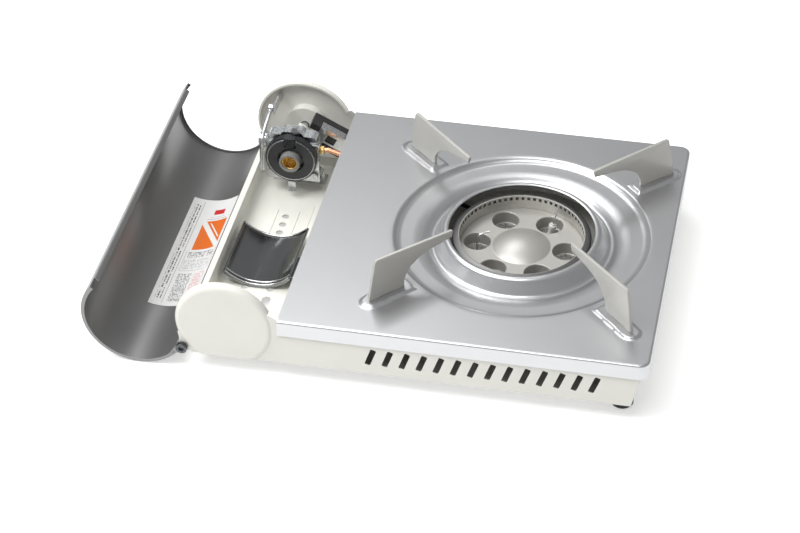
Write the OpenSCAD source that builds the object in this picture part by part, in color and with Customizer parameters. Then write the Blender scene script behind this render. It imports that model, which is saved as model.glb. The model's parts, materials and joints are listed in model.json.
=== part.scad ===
// Tabletop butane stove for a standard 250 g screwless canister, lid open.
// Lengths are in millimetres. The pieces are drawn from the cooking plate's near left
// corner, x to the right, y away from the rear wall, z up from the table, and the whole
// stove is then shifted so that its origin lies on the table under its middle.

/* [Cooking plate] */
// Width of the plate, from the canister bay to the right side
plate_w = 264; // [240:1:300]
// Depth of the plate, from rear to front
plate_d = 260; // [256:1:290]
// Height of the plate's flat top above the table
plate_top = 54.8; // [54:0.1:62]
// Sheet thickness of the plate
plate_t = 0.8; // [0.6:0.1:1.2]
// Height of the skirt on the rear, right and front edges
plate_skirt = 12.5; // [9:0.5:14]
// Radius of the two right corners
plate_corner_r = 8; // [5:0.5:12]

/* [Dish] */
// Burner axis, from the plate's left edge
burner_x = 153.5; // [145:0.5:160]
// Burner axis, from the plate's rear edge
burner_y = 130.5; // [125:0.5:140]
// Outer radius of the dish pressed into the plate
dish_r = 94.5; // [90:0.5:98]
// Depth of the first step
dish_step = 3.2; // [2:0.1:4]
// Radius where the flat band ends and the gutter begins
band_r = 75; // [73:0.5:78]
// Radius of the lowest line of the gutter
gutter_r = 66; // [65:0.5:68]
// Depth of the gutter below the plate
gutter_depth = 8; // [6:0.5:9]
// Radius of the hole round the burner
hole_r = 54; // [52:0.5:56]
// Height of the rolled lip round the hole above the plate
lip_h = 4; // [2:0.5:5]
// Angle where the lip's curl ends, from level outwards
lip_turn = 118; // [95:1:170]

/* [Pot supports] */
// Thickness of a support blade
fin_t = 2.5; // [2:0.1:3]
// Height of a blade above the plate
fin_h = 36; // [30:0.5:40]
// Radius of a blade's outer foot from the burner axis
fin_outer_r = 136; // [132:0.5:138]
// Radius of a blade's inner foot
fin_inner_r = 105.5; // [104:0.5:108]
// Radius of a blade's inner tip
fin_tip_r = 62.5; // [58:0.5:70]
// Direction of the two blades nearest the rear wall, from the plate's width
fin_near_angle = 46.3; // [42:0.1:48]
// Direction of the two blades nearest the front, from the plate's width
fin_far_angle = 42.3; // [40:0.1:48]
// Height of the pad pressed up under each blade
pad_h = 2; // [1:0.1:3]
// Half width of a pad
pad_half_w = 7.75; // [6:0.25:9]
// Radius where a pad begins
pad_inner_r = 99.5; // [99:0.5:103]
// Radius where a pad ends
pad_outer_r = 142; // [140:0.5:144]

/* [Casing] */
// Thickness of the casing's sheet
sheet_t = 0.8; // [0.6:0.1:1]
// Height of the casing's lower edge above the table
casing_z = 15.8; // [14:0.1:18]
// Distance of the rear wall's outer face inside the plate's rear edge
rear_inset = 1.3; // [1.1:0.1:2]
// Distance of the front wall's outer face inside the plate's front edge
front_inset = 2.5; // [1.5:0.1:3]
// Distance of the side wall's top inside the plate's right edge
side_inset = 6; // [4:0.5:10]
// How far the side wall leans in towards its lower edge
side_lean = 5.6; // [2:0.2:8]
// Number of vent slots in a wall
slot_count = 14; // [6:1:14]
// Middle of the first slot from the plate's left edge
slot_first_x = 67; // [60:1:72]
// Distance between slots
slot_pitch = 12.26; // [10:0.02:12.6]
// Length of a slot
slot_len = 15.2; // [10:0.2:16]
// Width of a slot
slot_w = 4.3; // [3:0.1:5.5]
// Lean of the slots from upright
slot_lean = 19.4; // [0:0.2:25]
// Height of the slots' middle above the table
slot_z = 31.2; // [30:0.2:33]
// Upturned edge of the base pan
pan_flange = 6.2; // [4:0.2:6.6]

/* [Canister bay] */
// Canister axis, left of the plate's edge
axis_left = 39.5; // [39:0.1:42]
// Canister axis above the table
axis_z = 43.9; // [43.7:0.1:45]
// Radius of a standard canister's body
can_r = 34; // [33:0.1:34.4]
// Left wall's outer face, from the axis
trough_left = 31; // [29.6:0.1:31.4]
// Right wall's outer face, from the axis
trough_right = 42.3; // [41.6:0.1:44]
// Height of the trough's floor above the table
trough_floor = 7.5; // [7:0.1:7.6]
// Radius of the trough's lower edges
trough_edge_r = 6; // [3:0.5:7]
// Distance of the trough's near end from the rear wall
trough_near = 14; // [10:0.5:20]
// Distance of the trough's far end from the front wall
trough_far = 9; // [6:0.5:14]
// Height of the left wall's top above the table
bay_wall_top = 26.3; // [24:0.1:26.8]
// Width of the lip along the left wall's top
bay_lip_w = 4.4; // [3:0.1:4.6]
// Diameter of the round floor holes
floor_hole_d = 5.4; // [3:0.1:6]

/* [End caps] */
// Radius of the rear cap round the canister axis
rear_cap_r = 36.2; // [35.6:0.1:36.6]
// Radius of the front cap
front_cap_r = 38.4; // [37:0.1:38.8]
// Radius of the caps' rounded edge
cap_round = 4.2; // [3:0.1:4.4]
// Depth of the rear cap's rim from its face
rear_rim = 6; // [5.4:0.1:8]
// Depth of the front cap's rim from its face
front_rim = 7; // [5.4:0.1:8]
// Angle where the caps' rims end on the hinge's side
rim_to = 196; // [192:1:200]
// Radius of the recess behind the knob
recess_r = 15.5; // [14:0.1:17]
// Depth of the recess behind the knob
recess_depth = 7; // [2:0.1:8]

/* [Lid] */
// Outer radius of the canister lid
lid_r = 40; // [39.8:0.1:41.4]
// Sheet thickness of the lid
lid_t = 0.8; // [0.6:0.1:0.9]
// Angle of the lid's free edge when it is closed, from level
lid_from = 24; // [22:0.5:26]
// Angle of the lid's hinged edge when it is closed
lid_to = 204; // [198:0.5:205]
// Distance of the hinge from the canister axis
hinge_r = 39.5; // [39.4:0.1:40.4]
// Angle of the hinge from level, round the canister axis
hinge_angle = 216; // [214:0.5:217]
// How far the lid swings open
lid_swing = 114; // [90:1:115]
// Inner radius of the lid's end lips
lid_lip_r = 37; // [36.6:0.1:38]
// Inner radius of the lip along the lid's free edge
lid_edge_r = 36; // [35.6:0.1:38]
// Radius of the hinge ears
ear_r = 4.4; // [3.6:0.1:4.6]
// Radius of a hinge screw's shank
hinge_pin_r = 2; // [1.5:0.1:2.4]
// Running clearance of the hinge ears on their screws, on the radius
pin_clear = 0.05; // [0.02:0.01:0.1]
// Angle covered by the label inside the lid
label_arc = 56.7; // [30:0.1:60]
// Length of the label along the lid
label_len = 131; // [80:1:150]

/* [Burner] */
// Inner radius of the burner ring
ring_inner_r = 46; // [44:0.1:46.4]
// Width of the burner ring, with its sloping shoulder
ring_w = 5.4; // [4.6:0.1:6]
// How far the ring's shoulder falls towards its outer edge
ring_drop = 3.4; // [2:0.1:4]
// Height of the ring's top above the plate, negative below it
ring_top = -0.4; // [-2:0.1:2]
// Depth of the burner floor below the plate
floor_depth = 12; // [10:0.1:13]
// Sheet thickness of the burner's pressings
burner_t = 0.8; // [0.6:0.1:1]
// Number of flame ports
port_count = 66; // [36:2:76]
// Width of a flame port
port_w = 2.2; // [1:0.1:2.4]
// Height of a flame port
port_h = 2.5; // [1:0.1:3]
// Depth of the flame ports' middle below the plate
port_depth = 3.1; // [2.8:0.1:6]
// Number of air tubes
tube_count = 6; // [4:1:6]
// Inner radius of an air tube
tube_r = 10.1; // [8:0.1:10.4]
// Distance of the air tubes from the burner axis
tube_pitch_r = 33.2; // [33:0.1:34]
// Radius of the domed middle
dome_r = 21.5; // [18:0.1:21.8]
// Height of the dome above the burner floor
dome_h = 6.5; // [3:0.1:8]
// Depth of the lower bowl's floor below the burner floor
bowl_depth = 10.6; // [9:0.1:12]
// Outer radius of the mixing tube
mixer_r = 6.5; // [5:0.1:6.6]
// Length of the mixing tube from the burner axis
mixer_len = 84; // [70:1:90]

/* [Gas valve] */
// Distance of the socket's mouth inside the plate's front edge
socket_inset = 63; // [60:0.5:68]
// Radius of the bore that receives the canister's nozzle
socket_bore_r = 5.2; // [4.8:0.1:5.6]
// Depth of that bore
socket_bore_len = 7; // [5:0.1:8]
// Outer radius of the grey socket
socket_r = 8.2; // [7.6:0.1:9]
// Outer radius of the magnet's steel cup
yoke_r = 19; // [17:0.1:20]
// Outer radius of the governor's casting
casting_r = 19.5; // [18:0.1:20]
// Outer radius of the copper gas tube
gas_tube_r = 2; // [1.5:0.1:2.2]

/* [Knob and igniter] */
// Radius of the control knob
knob_r = 21; // [18:0.5:24]
// Height of the knob from its back to its front
knob_h = 17.2; // [14:0.1:20]
// Radius of the knob's shaft
shaft_r = 3; // [2.5:0.1:3.4]
// Turn of the knob from off to its end
knob_turn = 100; // [80:5:120]
// Travel of the igniter's plunger
plunger_travel = 4; // [3:0.1:4.2]
// Slope of the igniter across the bay, downwards to the right
igniter_slope = 27.6; // [24:0.2:30]

/* [Feet] */
// Radius of a rubber foot
foot_r = 8; // [6:0.5:9]

/* [Hidden] */

cream = [0.89, 0.885, 0.85];
satin_silver = [0.72, 0.72, 0.73];
fin_grey = [0.74, 0.73, 0.7];
lid_grey = [0.55, 0.55, 0.55];
burner_grey = [0.78, 0.77, 0.74];
cast_grey = [0.62, 0.63, 0.65];
steel_grey = [0.58, 0.6, 0.62];
dark_steel = [0.25, 0.26, 0.27];
black = [0.06, 0.06, 0.06];
white = [0.92, 0.91, 0.89];
brass = [0.72, 0.52, 0.22];
copper = [0.72, 0.4, 0.26];

seat = 0.3;                    // gap between pieces that sit on each other
run = 0.05;                    // radial running clearance of a shaft in its bearing
cut = 1;                       // overshoot of a cut past the faces that it opens
fine = 96;
small = 32;

axis_x = -axis_left;
hinge_x = axis_x + hinge_r * cos(hinge_angle);
hinge_z = axis_z + hinge_r * sin(hinge_angle);
open_x = hinge_x + hinge_r * cos(hinge_angle - 180 + lid_swing);
plate_under = plate_top - plate_t;

rear_out = rear_inset;
rear_in = rear_out + sheet_t;
front_out = plate_d - front_inset;
front_in = front_out - sheet_t;
side_top_x = plate_w - side_inset;
side_bottom_x = side_top_x - side_lean;
skirt_z = plate_top - plate_skirt;
wall_top = plate_under - seat;

socket_y = plate_d - socket_inset;
burner_r = ring_inner_r + burner_t;
lid_near = 0.2;
lid_far = front_out + seat + lid_t;
lid_inner_r = lid_r - lid_t;
lid_edge_near = rear_rim + 4;
lid_edge_far = front_out - front_rim - 1.5;
screw_head_r = 4.2;
screw_head_h = 2.8;

knob_back = front_out + seat;
knob_front = knob_back + knob_h;

yoke_y = socket_y + 4.8;
plate_y = socket_y + 10.8;
body_y = plate_y + 1.5 + seat;
body_end = body_y + 13;
neck_end = body_end + 6;

frame_x = -(open_x - lid_r + plate_w) / 2;
frame_y = -(knob_front + lid_near - seat - screw_head_h) / 2;

// ---- helpers ----
module placed() translate([frame_x, frame_y, 0]) children();

// A sheet standing in the x-z plane from y0 to y0 + t
module slab(y0, t) translate([0, y0 + t, 0]) rotate([90, 0, 0]) linear_extrude(t) children();

// Turns a (radius, y) profile about the canister axis between two angles
module round_axis(from = 0, to = 360)
    translate([axis_x, 0, axis_z]) rotate([-90, 0, 0]) rotate([0, 0, -to])
        rotate_extrude(angle = to - from, $fn = fine) children();

// A cylinder along y round the canister axis
module axial(r, y0, y1, fn = fine)
    translate([axis_x, y0, axis_z]) rotate([-90, 0, 0]) cylinder(r = r, h = y1 - y0, $fn = fn);

module bar_y(x, y0, z, r, len, fn = small)
    translate([x, y0, z]) rotate([-90, 0, 0]) cylinder(r = r, h = len, $fn = fn);

module bar_x(x0, y, z, r, len, fn = small)
    translate([x0, y, z]) rotate([0, 90, 0]) cylinder(r = r, h = len, $fn = fn);

module box(x0, x1, y0, y1, z0, z1) translate([x0, y0, z0]) cube([x1 - x0, y1 - y0, z1 - z0]);

// A flat shape with rounded corners, from its lower left corner
module soft_rect(w, h, r) {
    translate([r, 0]) square([w - 2 * r, h]);
    translate([0, r]) square([w, h - 2 * r]);
    for (x = [r, w - r], y = [r, h - r]) translate([x, y]) circle(r, $fn = small);
}

module stadium(len, w) {
    square([len, w], center = true);
    for (s = [-1, 1]) translate([s * len / 2, 0]) circle(w / 2, $fn = small);
}

// Point of a smooth curve through the points of a route, between points i and i + 1
function curve_point(p, i, t) = let (
    a = p[max(i - 1, 0)], b = p[i], c = p[i + 1], d = p[min(i + 2, len(p) - 1)]
) 0.5 * (2 * b + (c - a) * t + (2 * a - 5 * b + 4 * c - d) * t * t
    + (3 * b - a - 3 * c + d) * t * t * t);

function smooth_line(p, n) = concat(
    [for (i = [0 : len(p) - 2], k = [0 : n - 1]) curve_point(p, i, k / n)], [p[len(p) - 1]]
);

// A closed tube of radius r along a line, its rings square to the line and widened by `wide`
module sweep_tube(line, r, sides, up = [0, 0, 1], wide = 1) {
    count = len(line);
    rings = [for (i = [0 : count - 1]) let (
        d = line[min(i + 1, count - 1)] - line[max(i - 1, 0)],
        side = cross(up, d) / norm(cross(up, d)),
        top = cross(d, side) / norm(d)
    ) [for (k = [0 : sides - 1]) let (a = 360 * k / sides)
        line[i] + r * (cos(a) * side + wide * sin(a) * top)]];
    points = [for (ring = rings, p = ring) p];
    faces = concat(
        [[for (k = [0 : sides - 1]) k]],
        [for (i = [0 : count - 2], k = [0 : sides - 1]) let (n = (k + 1) % sides)
            [i * sides + k, (i + 1) * sides + k, (i + 1) * sides + n, i * sides + n]],
        [[for (k = [sides - 1 : -1 : 0]) (count - 1) * sides + k]]
    );
    polyhedron(points, faces, convexity = 6);
}

// ---- casing ----
hem_w = 1.6;                   // width of the fold round a cap's rim

// Edge of a cap: a disc of radius r, its face at y = 0, rounded back over `round`
module cap_outline(r, round, depth) {
    square([r - round, depth]);
    translate([0, round]) square([r, depth - round]);
    intersection() {
        translate([r - round, round]) circle(round, $fn = fine);
        translate([r - round, 0]) square(round);
    }
}

// A cap's shell, its face at y = 0, with a hemmed, deep rim above the lid's edges only
module cap_shell(r, depth, shallow) difference() {
    round_axis() difference() {
        cap_outline(r, cap_round, depth);
        translate([0, sheet_t]) cap_outline(r - sheet_t, cap_round - sheet_t, depth - hem_w - sheet_t);
        translate([0, cap_round]) square([r - 2 * sheet_t, depth]);
    }
    slab(shallow, depth) translate([axis_x, axis_z]) polygon([
        [0, 0], 2 * r * [cos(rim_to), sin(rim_to)], [-2 * r, -2 * r], [2 * r, -2 * r],
        2 * r * [cos(lid_from), sin(lid_from)]
    ]);
}

module slot_row() for (i = [0 : slot_count - 1])
    translate([slot_first_x + i * slot_pitch, slot_z]) rotate(-slot_lean)
        translate([-slot_w / 2, -slot_len / 2]) soft_rect(slot_w, slot_len, slot_w / 4);

// Outline of the rear or front wall, with its hinge tab and without its cap
module wall_outline(cap_r, shoulder) difference() {
    union() {
        polygon([
            [axis_x + cap_r * cos(lid_from - shoulder), axis_z + cap_r * sin(lid_from - shoulder)],
            [axis_x, axis_z],
            [axis_x + rear_cap_r * cos(rim_to + 1), axis_z + rear_cap_r * sin(rim_to + 1)],
            [hinge_x - 1.7, hinge_z + 6.3],
            [hinge_x - ear_r + 0.4, hinge_z + 2],
            [hinge_x + 3.8, hinge_z - 2.4],
            [hinge_x + 6.9, casing_z],
            [side_bottom_x, casing_z],
            [side_top_x, skirt_z],
            [side_top_x, wall_top],
            [-seat, wall_top],
            [-seat, plate_top]
        ]);
        translate([hinge_x, hinge_z]) circle(ear_r, $fn = small);
    }
    translate([hinge_x, hinge_z]) circle(hinge_pin_r + run, $fn = small);
    slot_row();
}

module rear_panel() placed() color(cream) {
    mouth_r = rear_cap_r - cap_round + sqrt(pow(cap_round, 2) - pow(cap_round - rear_out, 2));
    difference() {
        slab(rear_out, sheet_t) wall_outline(rear_cap_r, 1);
        axial(mouth_r - sheet_t, -cut, rear_rim);
    }
    cap_shell(rear_cap_r, rear_rim, rear_in);
}

module front_panel() placed() color(cream) {
    difference() {
        union() {
            slab(front_in, sheet_t) difference() {
                wall_outline(front_cap_r, 4);
                translate([axis_x, axis_z]) circle(front_cap_r - cap_round + 1, $fn = fine);
            }
            translate([0, front_out, 0]) mirror([0, 1, 0])
                cap_shell(front_cap_r, front_rim, sheet_t);
            axial(recess_r, front_out - recess_depth - sheet_t, front_out - sheet_t / 2);
        }
        axial(recess_r - sheet_t, front_out - recess_depth, front_out + cut);
        axial(shaft_r + 0.6, front_out - recess_depth - cut - sheet_t, front_out, small);
    }
}

module side_panel() placed() color(cream) {
    near = rear_in + seat;
    far = front_in - seat;
    slab(near, far - near) polygon([
        [side_bottom_x, casing_z], [side_top_x, skirt_z], [side_top_x, wall_top],
        [side_top_x - sheet_t, wall_top], [side_top_x - sheet_t, skirt_z],
        [side_bottom_x - sheet_t, casing_z + sheet_t + seat],
        [side_bottom_x - sheet_t - 0.15, casing_z]
    ]);
}

// Cross-section of the trough, rounded along its lower edges
module trough_section(inset) {
    left = axis_x - trough_left + inset;
    right = axis_x + trough_right - inset;
    low = trough_floor - sheet_t + inset;
    r = trough_edge_r - inset;
    translate([left + r, low]) square([right - left - 2 * r, casing_z + 2 * sheet_t - low]);
    translate([left, low + r]) square([right - left, casing_z + 2 * sheet_t - low - r]);
    for (x = [left + r, right - r]) translate([x, low + r]) circle(r, $fn = small);
}

// Marks pressed and cut into the trough's floor, from the axis and the rear wall's side
floor_pad = [[-24, 152], [20, 199]];
floor_pad_h = 0.5;
floor_rib_xs = [-8, 9];
floor_rib_ys = [152, 184];
floor_rib_w = 1.2;
floor_hole_x = 0.5;
floor_hole_ys = [156.4, 166.6, 176.8];
vent_xs = [-9.6, 10];
vent_y = 88.7;
vent_d = floor_hole_d - 0.8;
vent_slot = [10.2, 74.8];
vent_slot_size = [5.4, 6.2];

module floor_marks() translate([axis_x, 0, trough_floor - sheet_t / 2]) {
    lift = floor_pad_h + sheet_t / 2;
    linear_extrude(lift) translate(floor_pad[0])
        soft_rect(floor_pad[1][0] - floor_pad[0][0], floor_pad[1][1] - floor_pad[0][1], 9);
    for (x = floor_rib_xs) linear_extrude(lift + floor_pad_h) translate([x, floor_rib_ys[0]])
        square([floor_rib_w, floor_rib_ys[1] - floor_rib_ys[0]]);
}

module floor_holes() translate([axis_x, 0, 0]) {
    for (y = floor_hole_ys) translate([floor_hole_x, y, 0])
        cylinder(d = floor_hole_d, h = casing_z, $fn = small);
    for (x = vent_xs) translate([x, vent_y, 0]) cylinder(d = vent_d, h = casing_z, $fn = small);
    translate(vent_slot) rotate(90) linear_extrude(casing_z) stadium(vent_slot_size[0], vent_slot_size[1]);
}

pan_flange_x = 6;
hinge_notch = 4.2;

module base_pan() placed() color(cream) {
    near = rear_in + seat;
    far = front_in - seat;
    trough_y0 = rear_in + trough_near;
    trough_y1 = front_in - trough_far;
    left = axis_x - trough_left;
    right = side_bottom_x - sheet_t - seat - 0.15;
    flange_z = casing_z + pan_flange;
    difference() {
        union() {
            box(left, right, near, far, casing_z, casing_z + sheet_t);
            box(pan_flange_x, right, near, near + sheet_t, casing_z, flange_z);
            box(pan_flange_x, right, far - sheet_t, far, casing_z, flange_z);
            box(left, left + sheet_t, near, far, casing_z, bay_wall_top);
            box(left + sheet_t - bay_lip_w, left + sheet_t, near, far,
                bay_wall_top - sheet_t, bay_wall_top);
            slab(trough_y0, trough_y1 - trough_y0) intersection() {
                trough_section(0);
                translate([left, 0]) square([trough_left + trough_right, casing_z + sheet_t]);
            }
        }
        difference() {
            slab(trough_y0 + sheet_t, trough_y1 - trough_y0 - 2 * sheet_t) trough_section(sheet_t);
            floor_marks();
        }
        for (y = [near, far]) box(left - cut, left + hinge_notch, y - hinge_notch, y + hinge_notch,
            hinge_z - hinge_notch, hinge_z + hinge_notch);
        floor_holes();
    }
}

partition_near = 10;
partition_far = socket_y - 6;
partition_flange = 9;
strip_y = 94;
strip_w = 24;
strip_gap = 0.8;

module bay_partition() placed() color(cream) {
    x0 = axis_x + trough_right + seat;
    x1 = x0 + partition_flange;
    z0 = casing_z + sheet_t;
    difference() {
        union() {
            box(x0, x0 + sheet_t, partition_near, partition_far, z0, wall_top);
            box(x0, x1, partition_near, partition_far, wall_top - sheet_t, wall_top);
            box(x0, x1, partition_near, partition_far, z0, z0 + sheet_t);
        }
        box(x0 - cut, x1 + cut, strip_y - strip_gap, strip_y + strip_w + strip_gap, 0, z0 + 5);
    }
}

// ---- cooking plate ----
// Middle line of the pressed dish as (radius, height over the plate), outside to inside
function arc_points(cx, cz, r, a0, a1, n) = [
    for (i = [0 : n]) let (a = a0 + (a1 - a0) * i / n) [cx + r * cos(a), cz + r * sin(a)]
];

// Upper face of the dish; the last stretch curls over the lip
bead_r = 2.4;
gutter_bend = 3.5;
lip_r = 3.6;
dish_line = concat(
    [[dish_r + 4, 0]],
    arc_points(dish_r + 1, -bead_r, bead_r, 90, 140, 4),
    [[dish_r - 4.2, -dish_step], [band_r, -dish_step - 0.3]],
    arc_points(gutter_r, -gutter_depth + gutter_bend, gutter_bend, -25, -155, 6),
    arc_points(hole_r - lip_r * cos(lip_turn), lip_h - lip_r, lip_r, 10, lip_turn, 7)
);

module dish_profile() {
    n = len(dish_line);
    lower = [for (i = [n - 1 : -1 : 0]) let (
        d = dish_line[min(i + 1, n - 1)] - dish_line[max(i - 1, 0)]
    ) dish_line[i] - plate_t * [d[1], -d[0]] / norm(d)];
    polygon(concat(dish_line, lower));
}

module plate_outline(inset) {
    translate([0, inset]) square([plate_w - plate_corner_r, plate_d - 2 * inset]);
    translate([0, plate_corner_r]) square([plate_w - inset, plate_d - 2 * plate_corner_r]);
    for (y = [plate_corner_r, plate_d - plate_corner_r])
        translate([plate_w - plate_corner_r, y]) circle(plate_corner_r - inset, $fn = fine);
}

// Places children at each pot support: x outwards from the burner axis
module at_support(i) {
    angles = [180 + fin_near_angle, -fin_near_angle, 180 - fin_far_angle, fin_far_angle];
    translate([burner_x, burner_y, 0]) rotate(angles[i]) children();
}

module pad_plan(inset) {
    translate([pad_inner_r + inset, -pad_half_w + inset])
        square([pad_outer_r - pad_inner_r - pad_half_w - inset, 2 * (pad_half_w - inset)]);
    translate([pad_outer_r - pad_half_w, 0]) circle(pad_half_w - inset, $fn = small);
}

fin_tab_l = 7;
fin_tab_drop = 3;
fin_tabs = [fin_inner_r + 1.5, fin_outer_r - 1.5 - fin_tab_l];

module top_plate() placed() color(satin_silver) {
    difference() {
        union() {
            translate([0, 0, skirt_z]) linear_extrude(plate_skirt) plate_outline(0);
            for (i = [0 : 3]) at_support(i)
                translate([0, 0, plate_top - plate_t]) linear_extrude(plate_t + pad_h) pad_plan(0);
        }
        translate([0, 0, skirt_z - cut]) linear_extrude(plate_skirt - plate_t + cut)
            plate_outline(plate_t);
        box(-cut, plate_t + cut, plate_t, plate_d - plate_t, skirt_z - cut, plate_under);
        translate([burner_x, burner_y, skirt_z - cut])
            cylinder(r = dish_r + 3.9, h = plate_skirt + 2 * cut, $fn = fine);
        for (i = [0 : 3]) at_support(i) {
            translate([0, 0, plate_under - cut]) linear_extrude(pad_h + cut) pad_plan(plate_t);
            for (x = fin_tabs) box(x - 0.2, x + fin_tab_l + 0.2, -fin_t / 2 - 0.2, fin_t / 2 + 0.2,
                plate_under - cut, plate_top + pad_h + cut);
        }
    }
    translate([burner_x, burner_y, plate_top]) rotate_extrude($fn = fine) dish_profile();
}

// ---- pot supports ----
module fin(i) placed() color(fin_grey) at_support(i) {
    foot = pad_h;
    slab(-fin_t / 2, fin_t) translate([0, plate_top]) polygon([
        [fin_inner_r, foot], [fin_inner_r - 0.4, foot + 6], [fin_inner_r - 4, foot + 13],
        [fin_inner_r - 10, foot + 18], [fin_inner_r - 20, foot + 22],
        [fin_tip_r + 1.2, fin_h - 9], [fin_tip_r, fin_h - 4], [fin_tip_r + 0.8, fin_h - 3.2],
        [fin_outer_r - 8, fin_h], [fin_outer_r - 6.4, fin_h - 0.9], [fin_outer_r - 5.8, fin_h - 2.6],
        [fin_outer_r, foot]
    ]);
    for (x = fin_tabs) box(x, x + fin_tab_l, -fin_t / 2, fin_t / 2,
        plate_under - fin_tab_drop, plate_top + foot);
}

module pot_support_near_left() fin(0);
module pot_support_near_right() fin(1);
module pot_support_far_left() fin(2);
module pot_support_far_right() fin(3);

// ---- burner ----
ring_z = plate_top + ring_top;
cap_z = plate_top - floor_depth;
bowl_z = cap_z - bowl_depth;
legs_low = casing_z + sheet_t;
ring_rim = 4;

module on_burner(z) translate([burner_x, burner_y, z]) children();

module at_tubes() for (i = [0 : tube_count - 1])
    rotate(i * 360 / tube_count) translate([tube_pitch_r, 0, 0]) children();

// Cross-section of the ring: upright inner wall, flat top edge and a shoulder falling outwards
module ring_profile() {
    low = cap_z - 0.6;
    outer = ring_inner_r + ring_w;
    shoulder = ring_z - ring_drop;
    polygon([
        [ring_inner_r, low], [ring_inner_r, ring_z - 0.7], [ring_inner_r + 0.3, ring_z - 0.2],
        [ring_inner_r + 0.8, ring_z], [ring_inner_r + 1.5, ring_z - 0.2], [outer - 0.7, shoulder],
        [outer - 0.1, shoulder - 0.5], [outer, shoulder - 1.2], [outer, shoulder - ring_rim],
        [outer - burner_t, shoulder - ring_rim], [outer - burner_t, shoulder - 1.3],
        [ring_inner_r + 1.5, ring_z - burner_t - 0.4], [ring_inner_r + burner_t, ring_z - burner_t - 0.6],
        [ring_inner_r + burner_t, low]
    ]);
}

module burner_ring() placed() color(burner_grey) on_burner(0) difference() {
    rotate_extrude($fn = fine) ring_profile();
    for (i = [0 : port_count - 1]) rotate(i * 360 / port_count)
        box(ring_inner_r - cut, ring_inner_r + burner_t + 0.2, -port_w / 2, port_w / 2,
            plate_top - port_depth - port_h / 2, plate_top - port_depth + port_h / 2);
}

module burner_cap() placed() color(burner_grey) on_burner(cap_z) {
    ball_r = (pow(dome_r, 2) + pow(dome_h, 2)) / (2 * dome_h);
    difference() {
        union() {
            translate([0, 0, -burner_t]) cylinder(r = ring_inner_r - run, h = burner_t, $fn = fine);
            intersection() {
                translate([0, 0, dome_h - ball_r]) sphere(ball_r, $fn = fine);
                translate([0, 0, -burner_t]) cylinder(r = dome_r + 0.6, h = dome_h + cut, $fn = fine);
            }
        }
        at_tubes() translate([0, 0, -burner_t - cut])
            cylinder(r = tube_r, h = burner_t + 3 * cut, $fn = small);
        translate([0, 0, -burner_t - cut]) intersection() {
            translate([0, 0, dome_h - ball_r + cut]) sphere(ball_r, $fn = fine);
            cylinder(r = dome_r - 2, h = dome_h + cut, $fn = fine);
        }
    }
}

// Short tubes standing between the bowl's floor and the holes of the cap
module air_tubes() placed() color(burner_grey) on_burner(bowl_z + burner_t)
    at_tubes() difference() {
        cylinder(r = tube_r + burner_t, h = bowl_depth - 2 * burner_t, $fn = small);
        translate([0, 0, -cut]) cylinder(r = tube_r, h = bowl_depth, $fn = small);
    }

screen_t = 0.5;
screen_hole_r = 1.1;
screen_pitch = 3.2;
wire_hole_r = 3.4;
module burner_screens() placed() color(steel_grey) on_burner(bowl_z + burner_t)
    at_tubes() difference() {
        cylinder(r = tube_r - 0.2, h = screen_t, $fn = small);
        for (ring = [0 : 2], k = [0 : max(ring * 6 - 1, 0)]) rotate(k * 60 / max(ring, 1))
            translate([ring * screen_pitch, 0, -cut])
                cylinder(r = screen_hole_r, h = screen_t + 2 * cut, $fn = small);
        translate([0, 0, -cut]) cylinder(r = wire_hole_r, h = screen_t + 2 * cut, $fn = small);
    }

module burner_bowl() placed() color(burner_grey) on_burner(bowl_z) difference() {
    cylinder(r = burner_r, h = bowl_depth - 0.6 - seat, $fn = fine);
    translate([0, 0, burner_t])
        cylinder(r = burner_r - burner_t, h = bowl_depth, $fn = fine);
    at_tubes() translate([0, 0, -cut]) cylinder(r = tube_r - 0.9, h = 2 + cut, $fn = small);
    translate([0, 0, -cut]) cylinder(r = mixer_r - burner_t, h = 2 + cut, $fn = small);
}

mixer_z = bowl_z - mixer_r - 0.4;
mixer_x = burner_x - mixer_len;
module mixing_tube() placed() color(steel_grey) difference() {
    union() {
        bar_x(mixer_x, burner_y, mixer_z, mixer_r, mixer_len);
        bar_x(mixer_x - 6, burner_y, mixer_z, mixer_r, 8);
        translate([burner_x, burner_y, mixer_z]) sphere(mixer_r, $fn = small);
        translate([burner_x, burner_y, mixer_z]) cylinder(r = mixer_r, h = bowl_z - mixer_z, $fn = small);
    }
    bar_x(mixer_x - 7, burner_y, mixer_z, mixer_r - burner_t, mixer_len + 7);
    translate([burner_x, burner_y, mixer_z]) sphere(mixer_r - burner_t, $fn = small);
    translate([burner_x, burner_y, mixer_z])
        cylinder(r = mixer_r - burner_t, h = bowl_z - mixer_z + cut, $fn = small);
    for (a = [0, 180]) translate([mixer_x + 1, burner_y, mixer_z]) rotate([a, 0, 0])
        box(0, 10, -3, 3, 0, mixer_r + cut);
}

leg_r = burner_r + 0.2;
leg_foot = 9;
leg_half_w = 6;
leg_t = 1;
module burner_legs() placed() color(steel_grey) on_burner(0) for (a = [90, 210, 330]) rotate(a) {
    box(leg_r - leg_foot, leg_r, -leg_half_w, leg_half_w, bowl_z - leg_t, bowl_z);
    box(leg_r - leg_t, leg_r, -leg_half_w, leg_half_w, legs_low, bowl_z);
    box(leg_r - leg_t, leg_r + leg_foot - leg_t, -leg_half_w, leg_half_w, legs_low, legs_low + leg_t);
}

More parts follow.
